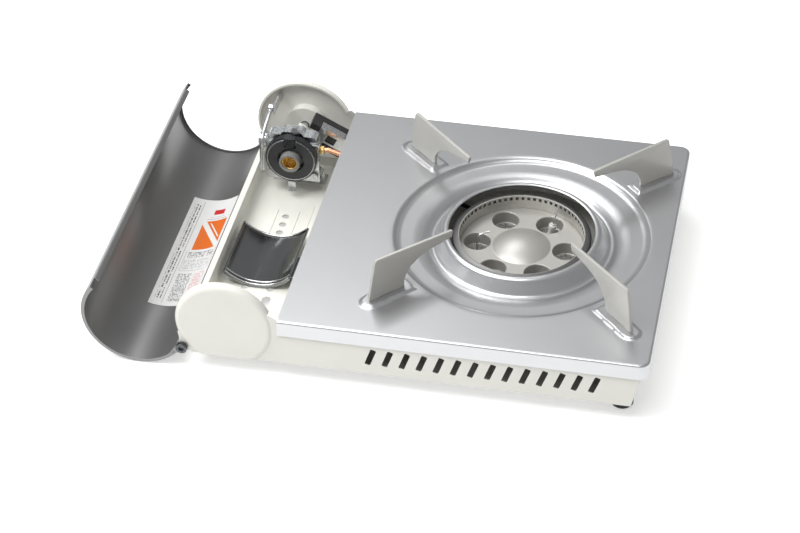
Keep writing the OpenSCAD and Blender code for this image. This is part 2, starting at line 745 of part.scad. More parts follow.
nozzle_x = mixer_x + 2;
nozzle_r = 3;
nozzle_hex_r = 4.6;
jet_r = 0.8;
module gas_nozzle() placed() color(brass) difference() {
    union() {
        bar_x(nozzle_x - 12, burner_y, mixer_z, nozzle_hex_r, 8, 6);
        bar_x(nozzle_x - 4.2, burner_y, mixer_z, nozzle_r, 4.2);
    }
    bar_x(nozzle_x - 13, burner_y, mixer_z, gas_tube_r + run, 7);
    bar_x(nozzle_x - 14, burner_y, mixer_z, jet_r, 20);
}

outlet = [axis_x + casting_r + 3.5, body_y + 5.4, axis_z + 3.5];
gas_route = [
    outlet, outlet + [3, 0, 0], outlet + [6, 0, 0], [6, socket_y + 15, 43], [20, socket_y + 3, 34],
    [34, 160, mixer_z + 3], [46, burner_y + 3, mixer_z], [nozzle_x - 17, burner_y, mixer_z],
    [nozzle_x - 12, burner_y, mixer_z], [nozzle_x - 7, burner_y, mixer_z]
];
module gas_tube() placed() color(copper) sweep_tube(smooth_line(gas_route, 4), gas_tube_r, 12);

nut_r = 3.4;
nut_l = 3.4;
module gas_tube_nut() placed() color(brass) translate([outlet[0] - 2.2, outlet[1], outlet[2]])
    difference() {
        rotate([0, 90, 0]) cylinder(r = nut_r, h = nut_l, $fn = 6);
        translate([2, 0, 0]) rotate([0, 90, 0]) cylinder(r = gas_tube_r + 0.5, h = nut_l, $fn = small);
    }

// ---- ignition electrode ----
electrode_angle = 60;
electrode_tilt = 12;
electrode_x = burner_x + tube_pitch_r * cos(electrode_angle);
electrode_y = burner_y + tube_pitch_r * sin(electrode_angle);
module at_electrode() translate([electrode_x, electrode_y, bowl_z])
    rotate([0, electrode_tilt, 0]) children();

module electrode_ceramic() placed() color(white) at_electrode() {
    translate([0, 0, -8]) cylinder(r = 2.2, h = 16, $fn = small);
    translate([0, 0, 8]) cylinder(r = 2.9, h = 3.4, $fn = small);
    translate([0, 0, 11.4]) cylinder(r = 1.6, h = 1.4, $fn = small);
}

module ignition_electrode() placed() color(steel_grey) at_electrode()
    translate([0, 0, 12.8]) cylinder(r = 0.7, h = 15, $fn = small);

module electrode_bracket() placed() color(steel_grey) difference() {
    union() {
        box(electrode_x - 5, electrode_x + 14, electrode_y - 5, electrode_y + 5, bowl_z - 1, bowl_z);
        box(electrode_x + 13, electrode_x + 14, electrode_y - 5, electrode_y + 5,
            legs_low, bowl_z - 1);
    }
    at_electrode() translate([0, 0, -10]) cylinder(r = 2.2 + run, h = 20, $fn = small);
}

earth_x = burner_x - tube_pitch_r;
module earth_wire() placed() color(steel_grey) sweep_tube(smooth_line([
    [earth_x, burner_y, bowl_z - 0.1], [earth_x, burner_y, bowl_z + 4],
    [earth_x, burner_y, cap_z + 2], [earth_x + 2, burner_y + 1, cap_z + 6],
    [earth_x + 9, burner_y + 3, cap_z + 8]
], 3), 0.6, 8, [1, 0, 0]);

// ---- heat panel under the canister ----
saddle_r = can_r + 0.7;
saddle_t = 0.9;
saddle_from = 225;
saddle_to = 315;
saddle_y = 89;
saddle_len = 62;
saddle_rib = 1;
saddle_ribs = [0, 3.6, saddle_len - saddle_rib];

// Cross-section of the saddle's sheet, thickened on both faces by swell
module saddle_section(swell) translate([axis_x, axis_z]) intersection() {
    difference() {
        circle(saddle_r + saddle_t + swell, $fn = fine);
        circle(saddle_r - swell, $fn = fine);
    }
    polygon([
        [0, 0], 2 * saddle_r * [cos(saddle_from), sin(saddle_from)], [0, -3 * saddle_r],
        2 * saddle_r * [cos(saddle_to), sin(saddle_to)]
    ]);
}

module heat_panel() placed() color(dark_steel) {
    slab(saddle_y, saddle_len) {
        saddle_section(0);
        for (a = [saddle_from, saddle_to])
            translate([axis_x, axis_z] + (saddle_r + saddle_t / 2) * [cos(a), sin(a)])
                circle(saddle_rib, $fn = small);
    }
    for (y = saddle_ribs) slab(saddle_y + y, saddle_rib) saddle_section(saddle_rib / 2);
    strip_z = casing_z + sheet_t + seat;
    end_x = axis_x + saddle_r * cos(saddle_to);
    rise = axis_z + saddle_r * sin(saddle_to);
    box(end_x, end_x + 1, strip_y, strip_y + strip_w, strip_z, rise + 0.2);
    box(end_x, burner_x - burner_r - 4, strip_y, strip_y + strip_w, strip_z, strip_z + 1);
    box(burner_x - burner_r - 5, burner_x - burner_r - 4, strip_y, strip_y + strip_w,
        strip_z, bowl_z + 4);
}

// ---- gas valve ----
yoke_depth = 4.4;
yoke_rim = 0.7;
magnet_back = 3;               // depth of the magnet's seat in its cup
magnet_gap = 2.4;              // gap round the socket
key_half_w = 4.1;              // half width of the key that the canister's notch fits
guide_r = yoke_r + 1.4;
guide_back = plate_y - seat;

module magnet_yoke() placed() color(steel_grey) difference() {
    axial(yoke_r, yoke_y, yoke_y + yoke_depth);
    axial(yoke_r - yoke_rim, yoke_y - cut, yoke_y + magnet_back);
    axial(socket_r + magnet_gap + 0.2, yoke_y, yoke_y + yoke_depth + cut, small);
    box(axis_x - key_half_w - 0.5, axis_x + key_half_w + 0.5, yoke_y - cut, yoke_y + magnet_back,
        axis_z + yoke_r - 2, axis_z + yoke_r + 6);
}

module magnet_ring() placed() color(black) difference() {
    axial(yoke_r - yoke_rim - seat, yoke_y - 0.2, yoke_y + magnet_back - seat);
    axial(socket_r + magnet_gap, yoke_y - cut, yoke_y + magnet_back + cut, small);
    box(axis_x - key_half_w - 0.5, axis_x + key_half_w + 0.5, yoke_y - cut,
        yoke_y + magnet_back + cut, axis_z + yoke_r - 7.6, axis_z + yoke_r + 6);
}

module guide_plate() placed() color(dark_steel) {
    difference() {
        axial(guide_r, yoke_y + 0.8, guide_back);
        axial(yoke_r + seat, yoke_y, yoke_y + yoke_depth + seat);
        axial(socket_r + seat, yoke_y + yoke_depth, plate_y + cut, small);
    }
    box(axis_x - key_half_w, axis_x + key_half_w, yoke_y - 1.2, guide_back,
        axis_z + yoke_r + seat, axis_z + guide_r + seat);
    slab(yoke_y - 1.2, 1.2) translate([axis_x, axis_z + yoke_r - 3]) {
        translate([-key_half_w, 0]) square([2 * key_half_w, guide_r + seat - yoke_r + 3]);
        circle(key_half_w, $fn = small);
    }
}

tongue_half_w = 3;
tongue_drop = 5;
module guide_tongue() placed() color(steel_grey) {
    top = axis_z - guide_r - seat;
    box(axis_x - tongue_half_w, axis_x + tongue_half_w, yoke_y + 1, guide_back, top - 1, top);
    box(axis_x - tongue_half_w, axis_x + tongue_half_w, yoke_y, yoke_y + 1, top - tongue_drop, top);
    translate([0, yoke_y + 1, top - tongue_drop]) rotate([-30, 0, 0])
        box(axis_x - tongue_half_w + 0.4, axis_x + tongue_half_w - 0.4, -1, 0, -4, 0.4);
}

module valve_socket() placed() color(cast_grey) difference() {
    axial(socket_r, socket_y, plate_y + bracket_t, small);
    axial(socket_bore_r + 1.1, socket_y - cut, plate_y + bracket_t + cut, small);
}

brass_step = 1.2;
jet_bore_r = 1.4;
module brass_socket() placed() color(brass) difference() {
    axial(socket_bore_r + 1.05, socket_y + brass_step, plate_y + bracket_t, small);
    axial(socket_bore_r, socket_y, socket_y + brass_step + socket_bore_len, small);
    axial(jet_bore_r, socket_y, plate_y + bracket_t + cut, small);
}

bracket_t = 1.5;
bracket_half_w = 21;
bracket_low = axis_z - 23;
bracket_leg_y = plate_y + 15;
bracket_foot = 12;
screw_out = 17;                // offset of the bracket's screws from the axis, both ways
screw_r = 1.5;
foot_screw_x = 15;
foot_screw_y = bracket_leg_y + 7;

module governor_bracket() placed() color(steel_grey) {
    x0 = axis_x - bracket_half_w;
    x1 = axis_x + bracket_half_w;
    difference() {
        box(x0, x1, plate_y, plate_y + bracket_t, bracket_low, axis_z + 12);
        axial(socket_r + seat, plate_y - cut, plate_y + bracket_t + cut, small);
        for (s = [-1, 1])
            bar_y(axis_x + s * screw_out, plate_y - cut, axis_z - screw_out, screw_r + seat, 4);
    }
    box(x0, x1, plate_y, bracket_leg_y + bracket_t, bracket_low, bracket_low + bracket_t);
    box(x0, x1, bracket_leg_y, bracket_leg_y + bracket_t, trough_floor, bracket_low + bracket_t);
    difference() {
        box(x0, x1, bracket_leg_y, bracket_leg_y + bracket_foot, trough_floor, trough_floor + bracket_t);
        for (s = [-1, 1]) translate([axis_x + s * foot_screw_x, foot_screw_y, 0])
            cylinder(r = screw_r + seat, h = trough_floor + bracket_t + cut, $fn = small);
    }
}

// Blocks of the casting: left, bottom, width, height and corner radius from the axis, then depth
casting_blocks = [
    [-casting_r, -12, 2 * casting_r, 30, 4, 10], [-9, 14, 18, 7, 3, 10],
    [-casting_r + 1, -15, 12, 12, 3, 10], [-11, -9, 25, 24, 4, 13]
];
// Round bosses of the casting: x, z and radius from the axis, then depth
casting_bosses = [
    [-13, 13, 4, 12], [14, -8, 4, 12], [-screw_out, -screw_out, 3.6, 8], [screw_out, -screw_out, 3.6, 8]
];
neck_r = 8.5;
diaphragm_y = body_y + 6.5;
diaphragm_z = axis_z + 7;
top_screw = [axis_x + 3, axis_z + guide_r + 4];

module governor_body() placed() color(cast_grey) difference() {
    union() {
        axial(13, body_y, body_end, small);
        for (b = casting_blocks) slab(body_y, b[5]) translate([axis_x + b[0], axis_z + b[1]])
            soft_rect(b[2], b[3], b[4]);
        for (b = casting_bosses) bar_y(axis_x + b[0], body_y, axis_z + b[1], b[2], b[3]);
        for (s = [-1, 1]) slab(body_y, 6) translate([axis_x + s * screw_out, axis_z - screw_out])
            translate([-2.4, 0]) square([4.8, 8]);
        axial(neck_r, body_end - 1, neck_end, small);
        bar_x(axis_x - casting_r - 3.5, diaphragm_y, diaphragm_z, 6.2, 6);
        bar_x(axis_x + casting_r - 2, outlet[1], outlet[2], 5, 3.2);
        bar_y(top_screw[0], body_y - 0.9, top_screw[1] - 2.2, 3.4, 4);
        box(axis_x - 2, axis_x, body_y + 8, body_end + 3, axis_z, axis_z + 16);
        box(axis_x - 14, axis_x + 6, body_y + 8, body_y + 11.5, axis_z + 11, axis_z + 13);
    }
    axial(shaft_r + run, body_end - 4, neck_end + cut, small);
    for (s = [-1, 1]) bar_y(axis_x + s * screw_out, body_y - cut, axis_z - screw_out, screw_r, 7);
}

module diaphragm_cap() placed() color(steel_grey) {
    x1 = axis_x - casting_r - 3.5 - seat;
    bar_x(x1 - 2.2, diaphragm_y, diaphragm_z, 8, 2.2);
    bar_x(x1 - 4.4, diaphragm_y, diaphragm_z, 5.5, 3);
}

screw_head = 3;
screw_slot_w = 0.8;
module governor_screws() placed() color(steel_grey) {
    for (s = [-1, 1]) let (x = axis_x + s * screw_out, z = axis_z - screw_out) difference() {
        union() {
            bar_y(x, plate_y - 2 - seat, z, screw_head, 2);
            bar_y(x, plate_y - 1, z, screw_r - run, 6);
        }
        box(x - screw_slot_w / 2, x + screw_slot_w / 2, plate_y - 3 - seat, plate_y - 1.2 - seat,
            z - 4, z + 4);
    }
    for (s = [-1, 1])
        translate([axis_x + s * foot_screw_x, foot_screw_y, trough_floor + bracket_t + seat]) {
            cylinder(r = screw_head, h = 1.8, $fn = small);
            translate([0, 0, -1.7]) cylinder(r = screw_r, h = 2, $fn = small);
        }
    difference() {
        bar_y(top_screw[0], body_y - 2.4 - seat, top_screw[1], screw_head, 1.5);
        box(top_screw[0] - 4, top_screw[0] + 4, body_y - 4, body_y - 2, top_screw[1] - screw_slot_w / 2,
            top_screw[1] + screw_slot_w / 2);
    }
}

// ---- igniter ----
// Frame of the igniter: x along its plunger, y along the canister axis, z square to both
module at_igniter() translate([axis_x, 0, axis_z]) rotate([0, igniter_slope, 0]) children();

cam_y = neck_end + 2;
cam_w = 6;
cam_reach = 6.7;
cam_base = plunger_travel / (knob_turn * PI / 180);
face_x = cam_reach + seat;
igniter_x = face_x + 1.5 + plunger_travel + 0.5;
igniter_y0 = cam_y - 4;
igniter_y1 = igniter_y0 + 14;
igniter_z0 = 10.8;
igniter_z1 = 23.5;
igniter_len = 27;
plunger_z = 14.4;
plunger_r = 2.4;
plunger_top = 17;
guard_x = 1.5;
guard_z = plunger_top + 0.6;

// Rim of the cam: its reach towards the plunger grows evenly with the turn
function cam_point(a) = let (h = cam_reach + cam_base * a * PI / 180)
    [h * cos(a) - cam_base * sin(a), h * sin(a) + cam_base * cos(a)];

module ignition_cam() placed() color(white) at_igniter() difference() {
    slab(cam_y, cam_w) {
        polygon(concat([[0, 0]], [for (a = [-10 : 5 : knob_turn + 10]) cam_point(a)]));
        circle(5.6, $fn = small);
    }
    translate([0, cam_y - cut, 0]) rotate([-90, 0, 0])
        cylinder(r = shaft_r + run, h = cam_w + 2 * cut, $fn = small);
}

module igniter_plunger() placed() color(dark_steel) at_igniter() {
    box(face_x, face_x + 1.5, cam_y - 0.5, cam_y + cam_w + 0.5, -1, plunger_top);
    bar_x(face_x, cam_y + cam_w / 2, plunger_z, plunger_r, 14);
}

module piezo_igniter() placed() color(black) at_igniter() difference() {
    union() {
        box(igniter_x, igniter_x + igniter_len, igniter_y0, igniter_y1, igniter_z0, igniter_z1);
        box(guard_x, igniter_x + cut, igniter_y0, igniter_y1, guard_z, igniter_z1);
        box(igniter_x + 4, igniter_x + igniter_len - 5, igniter_y0 + 2, igniter_y1 - 2,
            igniter_z0 - 8, igniter_z0 + cut);
    }
    bar_x(igniter_x - cut, cam_y + cam_w / 2, plunger_z, plunger_r + run, 20);
}

// Upright plate in front of the igniter, with a window, a top flange and a strap to the wall
module igniter_bracket() placed() color(steel_grey) at_igniter() {
    t = 1;
    near = igniter_y0 - seat - t;
    x0 = guard_x + 8;
    x1 = igniter_x + igniter_len + seat + t;
    top = igniter_z1 + seat + t;
    window = igniter_x + 4;
    difference() {
        box(x0, x1, near, near + t, igniter_z0 + 1, top);
        box(window, window + 8, near - cut, near + t + cut, igniter_z0 + 2.6, igniter_z0 + 9.6);
    }
    box(x0, x1, near, near + 7, top - t, top);
    box(x1 - t, x1, near, front_in - seat, guard_z, top);
}

// ---- ignition lead ----
lead_r = 1.5;
lead_sides = 8;
lead_points = [
    [2.9, 233.5, 38], [8.2, 233.5, 35.2], [18, 232, 29], [34, 228, 22], [58, 218, 19.4],
    [88, 206, 18.8], [118, 192, 18.6], [142, 178, 18.6], [158, 166, 19], [166, 160.5, 20.4]
];

module ignition_lead() placed() color(black)
    sweep_tube(smooth_line(lead_points, 4), lead_r, lead_sides);

// ---- knob ----
module knob_shaft() placed() color(steel_grey)
    axial(shaft_r, body_end - 3, knob_back + 11, small);

module ignition_knob() placed() color(black) difference() {
    union() {
        axial(knob_r, knob_back, knob_back + 3.2);
        axial(knob_r - 2.5, knob_back + 3, knob_back + 6);
        axial(10, knob_back - 2, knob_back + 5, small);
        intersection() {
            axial(knob_r - 3, knob_back + 5, knob_front);
            box(axis_x - 6, axis_x + 6, knob_back, knob_front, axis_z - 30, axis_z + 30);
        }
    }
    axial(shaft_r + run, knob_back - 3, knob_back + 11.3, small);
    box(axis_x - 0.6, axis_x + 0.6, knob_front - 0.6, knob_front + cut, axis_z + 6, axis_z + 30);
}

// ---- safety lever ----
lever_x = axis_x - guide_r - 2.3;
lever_y = plate_d - 24;
lever_z = axis_z + 22.9;
lever_pin_r = 1.2;
lever_route = [
    [lever_x, lever_y - 2, lever_z], [lever_x, lever_y - 12, lever_z - 1],
    [lever_x, socket_y + 11, axis_z + 18], [lever_x, socket_y + 6, axis_z + 12],
    [lever_x, socket_y + 4, axis_z], [lever_x, socket_y + 3.5, axis_z - 11]
];
module safety_lever() placed() color(cast_grey) difference() {
    union() {
        bar_x(lever_x - 1.7, lever_y, lever_z, 3.4, 3.4);
        sweep_tube(smooth_line(lever_route, 4), 0.9, 10, [1, 0, 0], 1.9);
    }
    bar_x(lever_x - 3, lever_y, lever_z, lever_pin_r + run, 6);
}

module lever_pin() placed() color(steel_grey) {
    bar_x(lever_x - 2.2, lever_y, lever_z, lever_pin_r, 6.2);
    box(lever_x + 2.3, lever_x + 3.5, lever_y - 3, front_in - seat, lever_z - 4, lever_z + 4);
}

// ---- lid ----
// Turns closed pieces open about the hinge
module opened() translate([hinge_x, 0, hinge_z]) rotate([0, -lid_swing, 0])
    translate([-hinge_x, 0, -hinge_z]) children();

function on_lid(r, a) = [axis_x + r * cos(a), axis_z + r * sin(a)];

// Flat ear that carries the lid's end round its hinge screw
module lid_ear(y0) difference() {
    slab(y0, lid_t) {
        polygon([on_lid(lid_lip_r, lid_to - 2), on_lid(lid_r, lid_to - 0.01),
            on_lid(hinge_r + ear_r - 0.6, hinge_angle - 3), [hinge_x, hinge_z],
            on_lid(hinge_r - ear_r + 0.1, hinge_angle - 1)]);
        translate([hinge_x, hinge_z]) circle(ear_r, $fn = small);
    }
    bar_y(hinge_x, y0 - cut, hinge_z, hinge_pin_r + pin_clear, lid_t + 2 * cut);
}

module canister_lid() placed() color(lid_grey) opened() {
    round_axis(lid_from, lid_to) {
        translate([lid_inner_r, lid_near]) square([lid_t, lid_far - lid_near]);
        for (y = [lid_near, lid_far - lid_t])
            translate([lid_lip_r, y]) square([lid_r - lid_lip_r, lid_t]);
    }
    lid_ear(lid_near);
    lid_ear(lid_far - lid_t);
    round_axis(lid_from, lid_from + 1.2) translate([lid_edge_r, lid_edge_near])
        square([lid_r - lid_edge_r - lid_t / 2, lid_edge_far - lid_edge_near]);
}

label_to = 195.2;
label_near = 63;
label_t = 0.2;
module lid_label() placed() color(white) opened()
    round_axis(label_to - label_arc, label_to) translate([lid_inner_r - 0.1 - label_t, label_near])
        square([label_t, label_len]);

module hinge_screw(y_head, y_end) {
    s = sign(y_end - y_head);
    difference() {
        union() {
            bar_y(hinge_x, min(y_head, y_head + s * screw_head_h), hinge_z, screw_head_r, screw_head_h);
            bar_y(hinge_x, min(y_head, y_end), hinge_z, hinge_pin_r, abs(y_end - y_head));
        }
        translate([hinge_x, y_head - s * cut, hinge_z]) rotate([-90 * s, 0, 0])
            cylinder(r = 2.2, h = cut + 1.6, $fn = 6);
    }
}

module hinge_screws() placed() color(black) {
    hinge_screw(lid_near - seat - screw_head_h, rear_in + 2.6);
    hinge_screw(lid_far + seat + screw_head_h, front_in - 2.6);
}

// ---- feet ----
foot_step = 0.8;
module rubber_foot(x, y, top) translate([x, y, 0]) {
    cylinder(r = foot_r - foot_step, h = top, $fn = small);
    translate([0, 0, foot_step]) cylinder(r = foot_r, h = top - foot_step, $fn = small);
}

foot_inset = 22;
bay_foot_near = 26;
bay_foot_far = 28;
bay_foot_x = axis_x - 18.5;
module rubber_feet() placed() color(dark_steel) {
    for (y = [foot_inset, plate_d - foot_inset]) rubber_foot(side_bottom_x - foot_r, y, casing_z);
    for (y = [bay_foot_near, plate_d - bay_foot_far])
        rubber_foot(bay_foot_x, y, trough_floor - sheet_t);
}

base_pan();
rear_panel();
front_panel();
side_panel();
bay_partition();
top_plate();
pot_support_near_left();
pot_support_near_right();
pot_support_far_left();
pot_support_far_right();
burner_ring();
burner_cap();
air_tubes();
burner_screens();
burner_bowl();
burner_legs();
mixing_tube();
gas_nozzle();
gas_tube();
gas_tube_nut();
electrode_ceramic();
ignition_electrode();
electrode_bracket();
earth_wire();
heat_panel();
governor_bracket();
governor_body();
diaphragm_cap();
magnet_yoke();
magnet_ring();
guide_plate();
guide_tongue();
valve_socket();
brass_socket();
governor_screws();
igniter_bracket();
piezo_igniter();
igniter_plunger();
ignition_lead();
knob_shaft();
ignition_cam();
ignition_knob();
safety_lever();
lever_pin();
canister_lid();
lid_label();
hinge_screws();
rubber_feet();
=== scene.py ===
import json
import math
from contextlib import contextmanager

import bmesh
import bpy
import numpy as np
from mathutils import Matrix, Vector


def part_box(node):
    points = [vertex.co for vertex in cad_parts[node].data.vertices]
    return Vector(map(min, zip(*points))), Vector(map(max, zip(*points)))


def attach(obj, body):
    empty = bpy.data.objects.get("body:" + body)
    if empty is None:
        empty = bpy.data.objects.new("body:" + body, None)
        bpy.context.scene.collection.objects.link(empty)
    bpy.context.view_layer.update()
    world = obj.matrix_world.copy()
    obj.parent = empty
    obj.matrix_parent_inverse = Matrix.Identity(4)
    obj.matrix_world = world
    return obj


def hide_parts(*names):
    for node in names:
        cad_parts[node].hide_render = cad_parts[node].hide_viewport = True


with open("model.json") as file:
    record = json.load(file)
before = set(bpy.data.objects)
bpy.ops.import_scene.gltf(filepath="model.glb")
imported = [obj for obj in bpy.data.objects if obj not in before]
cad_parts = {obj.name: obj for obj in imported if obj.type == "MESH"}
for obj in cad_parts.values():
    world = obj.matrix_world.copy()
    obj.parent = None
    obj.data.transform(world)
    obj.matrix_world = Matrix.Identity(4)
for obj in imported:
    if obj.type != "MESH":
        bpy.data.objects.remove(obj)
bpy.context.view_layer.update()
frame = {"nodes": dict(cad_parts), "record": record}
nodes = frame["nodes"]
scene = bpy.context.scene
mm = 0.001

# Places that several pieces share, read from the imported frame; the plate's lip stands above its flat top
lipHeight = 4 * mm
plateLow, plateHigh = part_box("top_plate")
ringLow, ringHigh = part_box("burner_ring")
canLow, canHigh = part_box("magnet_yoke")
screwLow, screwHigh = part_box("hinge_screws")
lidLow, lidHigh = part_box("canister_lid")
burnerX = (ringLow.x + ringHigh.x) / 2
burnerY = (ringLow.y + ringHigh.y) / 2
canX = (canLow.x + canHigh.x) / 2
canZ = (canLow.z + canHigh.z) / 2
hingeX = (screwLow.x + screwHigh.x) / 2
hingeZ = (screwLow.z + screwHigh.z) / 2
plateX = plateLow.x
plateY = plateLow.y
plateTop = plateHigh.z - lipHeight


# Finishes: node materials made from a few shared steps


def startFinish(name, colour, metallic=0.0, roughness=0.5, **extra):
    mat = bpy.data.materials.new(name)
    mat.use_nodes = True
    shader = mat.node_tree.nodes["Principled BSDF"]
    shader.inputs["Base Color"].default_value = (*colour, 1)
    shader.inputs["Metallic"].default_value = metallic
    shader.inputs["Roughness"].default_value = roughness
    for key, value in extra.items():
        shader.inputs[key.replace("_", " ")].default_value = value
    mat.diffuse_color = (*colour, 1)
    return mat, mat.node_tree, shader


def makeNode(tree, kind, settings=None, **values):
    node = tree.nodes.new(kind)
    for key, value in values.items():
        setattr(node, key, value)
    for key, value in (settings or {}).items():
        socket = node.inputs[key]
        if isinstance(value, bpy.types.NodeSocket):
            tree.links.new(value, socket)
        else:
            socket.default_value = value
    return node


def where(tree, stretch=(1, 1, 1)):
    # Places on the object; a small stretch along an axis draws the grain out along it
    coords = makeNode(tree, "ShaderNodeTexCoord")
    mapping = makeNode(tree, "ShaderNodeMapping", {
        "Vector": coords.outputs["Object"], "Scale": stretch})
    return mapping.outputs["Vector"]


def grain(tree, place, size, detail=2.0, rough=0.5):
    # Noise with patches of about this size
    node = makeNode(tree, "ShaderNodeTexNoise", {
        "Vector": place, "Scale": 1 / size, "Detail": detail, "Roughness": rough})
    return node.outputs["Fac"]


def band(tree, value, low, high, toLow=0.0, toHigh=1.0):
    # Spreads the values between low and high over toLow to toHigh
    node = makeNode(tree, "ShaderNodeMapRange", {
        "Value": value, "From Min": low, "From Max": high, "To Min": toLow, "To Max": toHigh})
    return node.outputs["Result"]


def sums(tree, kind, first, second):
    node = makeNode(tree, "ShaderNodeMath", operation=kind)
    for i, value in enumerate((first, second)):
        if isinstance(value, bpy.types.NodeSocket):
            tree.links.new(value, node.inputs[i])
        else:
            node.inputs[i].default_value = value
    return node.outputs[0]


def mixColours(tree, amount, first, second):
    # The mix node's factor and colours are its sockets 0, 6 and 7, and the mixed colour is its output 2
    node = makeNode(tree, "ShaderNodeMix", data_type="RGBA")
    for i, value in ((0, amount), (6, first), (7, second)):
        if isinstance(value, bpy.types.NodeSocket):
            tree.links.new(value, node.inputs[i])
        else:
            node.inputs[i].default_value = value if i == 0 else (*value, 1)
    return node.outputs[2]


def relief(tree, shader, height, depth, strength=1.0, after=None):
    node = makeNode(tree, "ShaderNodeBump", {
        "Height": height, "Distance": depth, "Strength": strength})
    if after:
        tree.links.new(after, node.inputs["Normal"])
    tree.links.new(node.outputs["Normal"], shader.inputs["Normal"])
    return node.outputs["Normal"]


def edges(tree, radius, low=0.02, high=0.25):
    # Rises from 0 on flat faces to 1 along edges
    soft = makeNode(tree, "ShaderNodeBevel", {"Radius": radius}, samples=4)
    flat = makeNode(tree, "ShaderNodeNewGeometry")
    dot = makeNode(tree, "ShaderNodeVectorMath", operation="DOT_PRODUCT")
    tree.links.new(soft.outputs["Normal"], dot.inputs[0])
    tree.links.new(flat.outputs["Normal"], dot.inputs[1])
    return band(tree, sums(tree, "SUBTRACT", 1.0, dot.outputs["Value"]), low, high)


def shade(colour, gain, lift=0.0):
    # A darker or paler tone of a colour
    return [min(c * gain + lift, 1) for c in colour]


paintLook = {
    "patch": 28 * mm, "dusty": 0.35, "sheen": 9 * mm, "edge": 0.5 * mm, "wear": 0.25, "wornTone": 0.82,
    "peel": 0.9 * mm, "grit": 0.35 * mm, "depth": 0.01 * mm, "gritShare": 0.3,
}


def paint(name, colour, dust, roughness=0.38):
    # Powder coat: a soft orange peel, faint tone changes and a little wear on its edges
    p = paintLook
    mat, tree, shader = startFinish(name, colour, 0.0, roughness, Coat_Weight=0.25, Coat_Roughness=0.18)
    place = where(tree)
    tone = band(tree, grain(tree, place, p["patch"], 3), 0.35, 0.7)
    grit = grain(tree, place, p["grit"], 2)
    mixed = mixColours(tree, sums(tree, "MULTIPLY", tone, p["dusty"]), colour, dust)
    wear = sums(tree, "MULTIPLY", edges(tree, p["edge"]), p["wear"])
    worn = mixColours(tree, wear, mixed, shade(dust, p["wornTone"]))
    tree.links.new(worn, shader.inputs["Base Color"])
    gloss = band(tree, grain(tree, place, p["sheen"], 3), 0.3, 0.7, roughness - 0.05, roughness + 0.08)
    tree.links.new(gloss, shader.inputs["Roughness"])
    peel = relief(tree, shader, grain(tree, place, p["peel"], 2), p["depth"])
    relief(tree, shader, grit, p["depth"] * p["gritShare"], after=peel)
    return mat


metalLook = {
    "cloud": 30 * mm, "fleck": 0.28 * mm, "edge": 0.35 * mm, "brushLine": 0.5 * mm, "line": 0.6 * mm,
    "lineStrength": 0.6, "sharpest": 0.04,
}


def metal(name, colour, roughness=0.35, brush=None, speck=0.0, rough=0.1, metallic=1.0, worn=0.2,
          cloudy=0.08, relieved=0.006 * mm):
    # Bare or satin metal: fine grain, optional flecks and brushing, brighter rubbed edges
    p = metalLook
    mat, tree, shader = startFinish(name, colour, metallic, roughness)
    place = where(tree)
    cloud = band(tree, grain(tree, place, p["cloud"], 3), 0.25, 0.75)
    base = mixColours(tree, cloud, shade(colour, 1 - cloudy), shade(colour, 1 + cloudy))
    if speck:
        fleck = band(tree, grain(tree, place, p["fleck"], 1), 0.4, 0.68)
        base = mixColours(tree, sums(tree, "MULTIPLY", fleck, speck), base, shade(colour, 1.35, 0.05))
    rub = sums(tree, "MULTIPLY", edges(tree, p["edge"]), worn)
    rubbed = mixColours(tree, rub, base, shade(colour, 1.3, 0.08))
    tree.links.new(rubbed, shader.inputs["Base Color"])
    if brush:
        lines = grain(tree, where(tree, brush), p["brushLine"], 3, 0.6)
    else:
        lines = grain(tree, place, p["line"], 3, 0.6)
    gloss = band(tree, lines, 0.3, 0.7, max(roughness - rough, p["sharpest"]), roughness + rough)
    tree.links.new(gloss, shader.inputs["Roughness"])
    relief(tree, shader, lines, relieved, p["lineStrength"])
    return mat


mouldedLook = {"patch": 12 * mm, "sheen": 3 * mm, "edge": 0.4 * mm, "scuff": 0.35}


def moulded(name, colour, roughness=0.45, texture=0.25 * mm, depth=0.012 * mm, coat=0.0):
    # Moulded plastic, rubber or ceramic: fine texture with paler scuffed edges
    p = mouldedLook
    mat, tree, shader = startFinish(name, colour, 0.0, roughness, Coat_Weight=coat)
    place = where(tree)
    tone = band(tree, grain(tree, place, p["patch"], 3), 0.3, 0.7)
    mixed = mixColours(tree, tone, shade(colour, 0.88), shade(colour, 1.1, 0.003))
    scuff = sums(tree, "MULTIPLY", edges(tree, p["edge"]), p["scuff"])
    scuffed = mixColours(tree, scuff, mixed, shade(colour, 1.3, 0.03))
    tree.links.new(scuffed, shader.inputs["Base Color"])
    gloss = band(tree, grain(tree, place, p["sheen"], 3), 0.3, 0.7, roughness - 0.07, roughness + 0.1)
    tree.links.new(gloss, shader.inputs["Roughness"])
    relief(tree, shader, grain(tree, place, texture, 2), depth)
    return mat


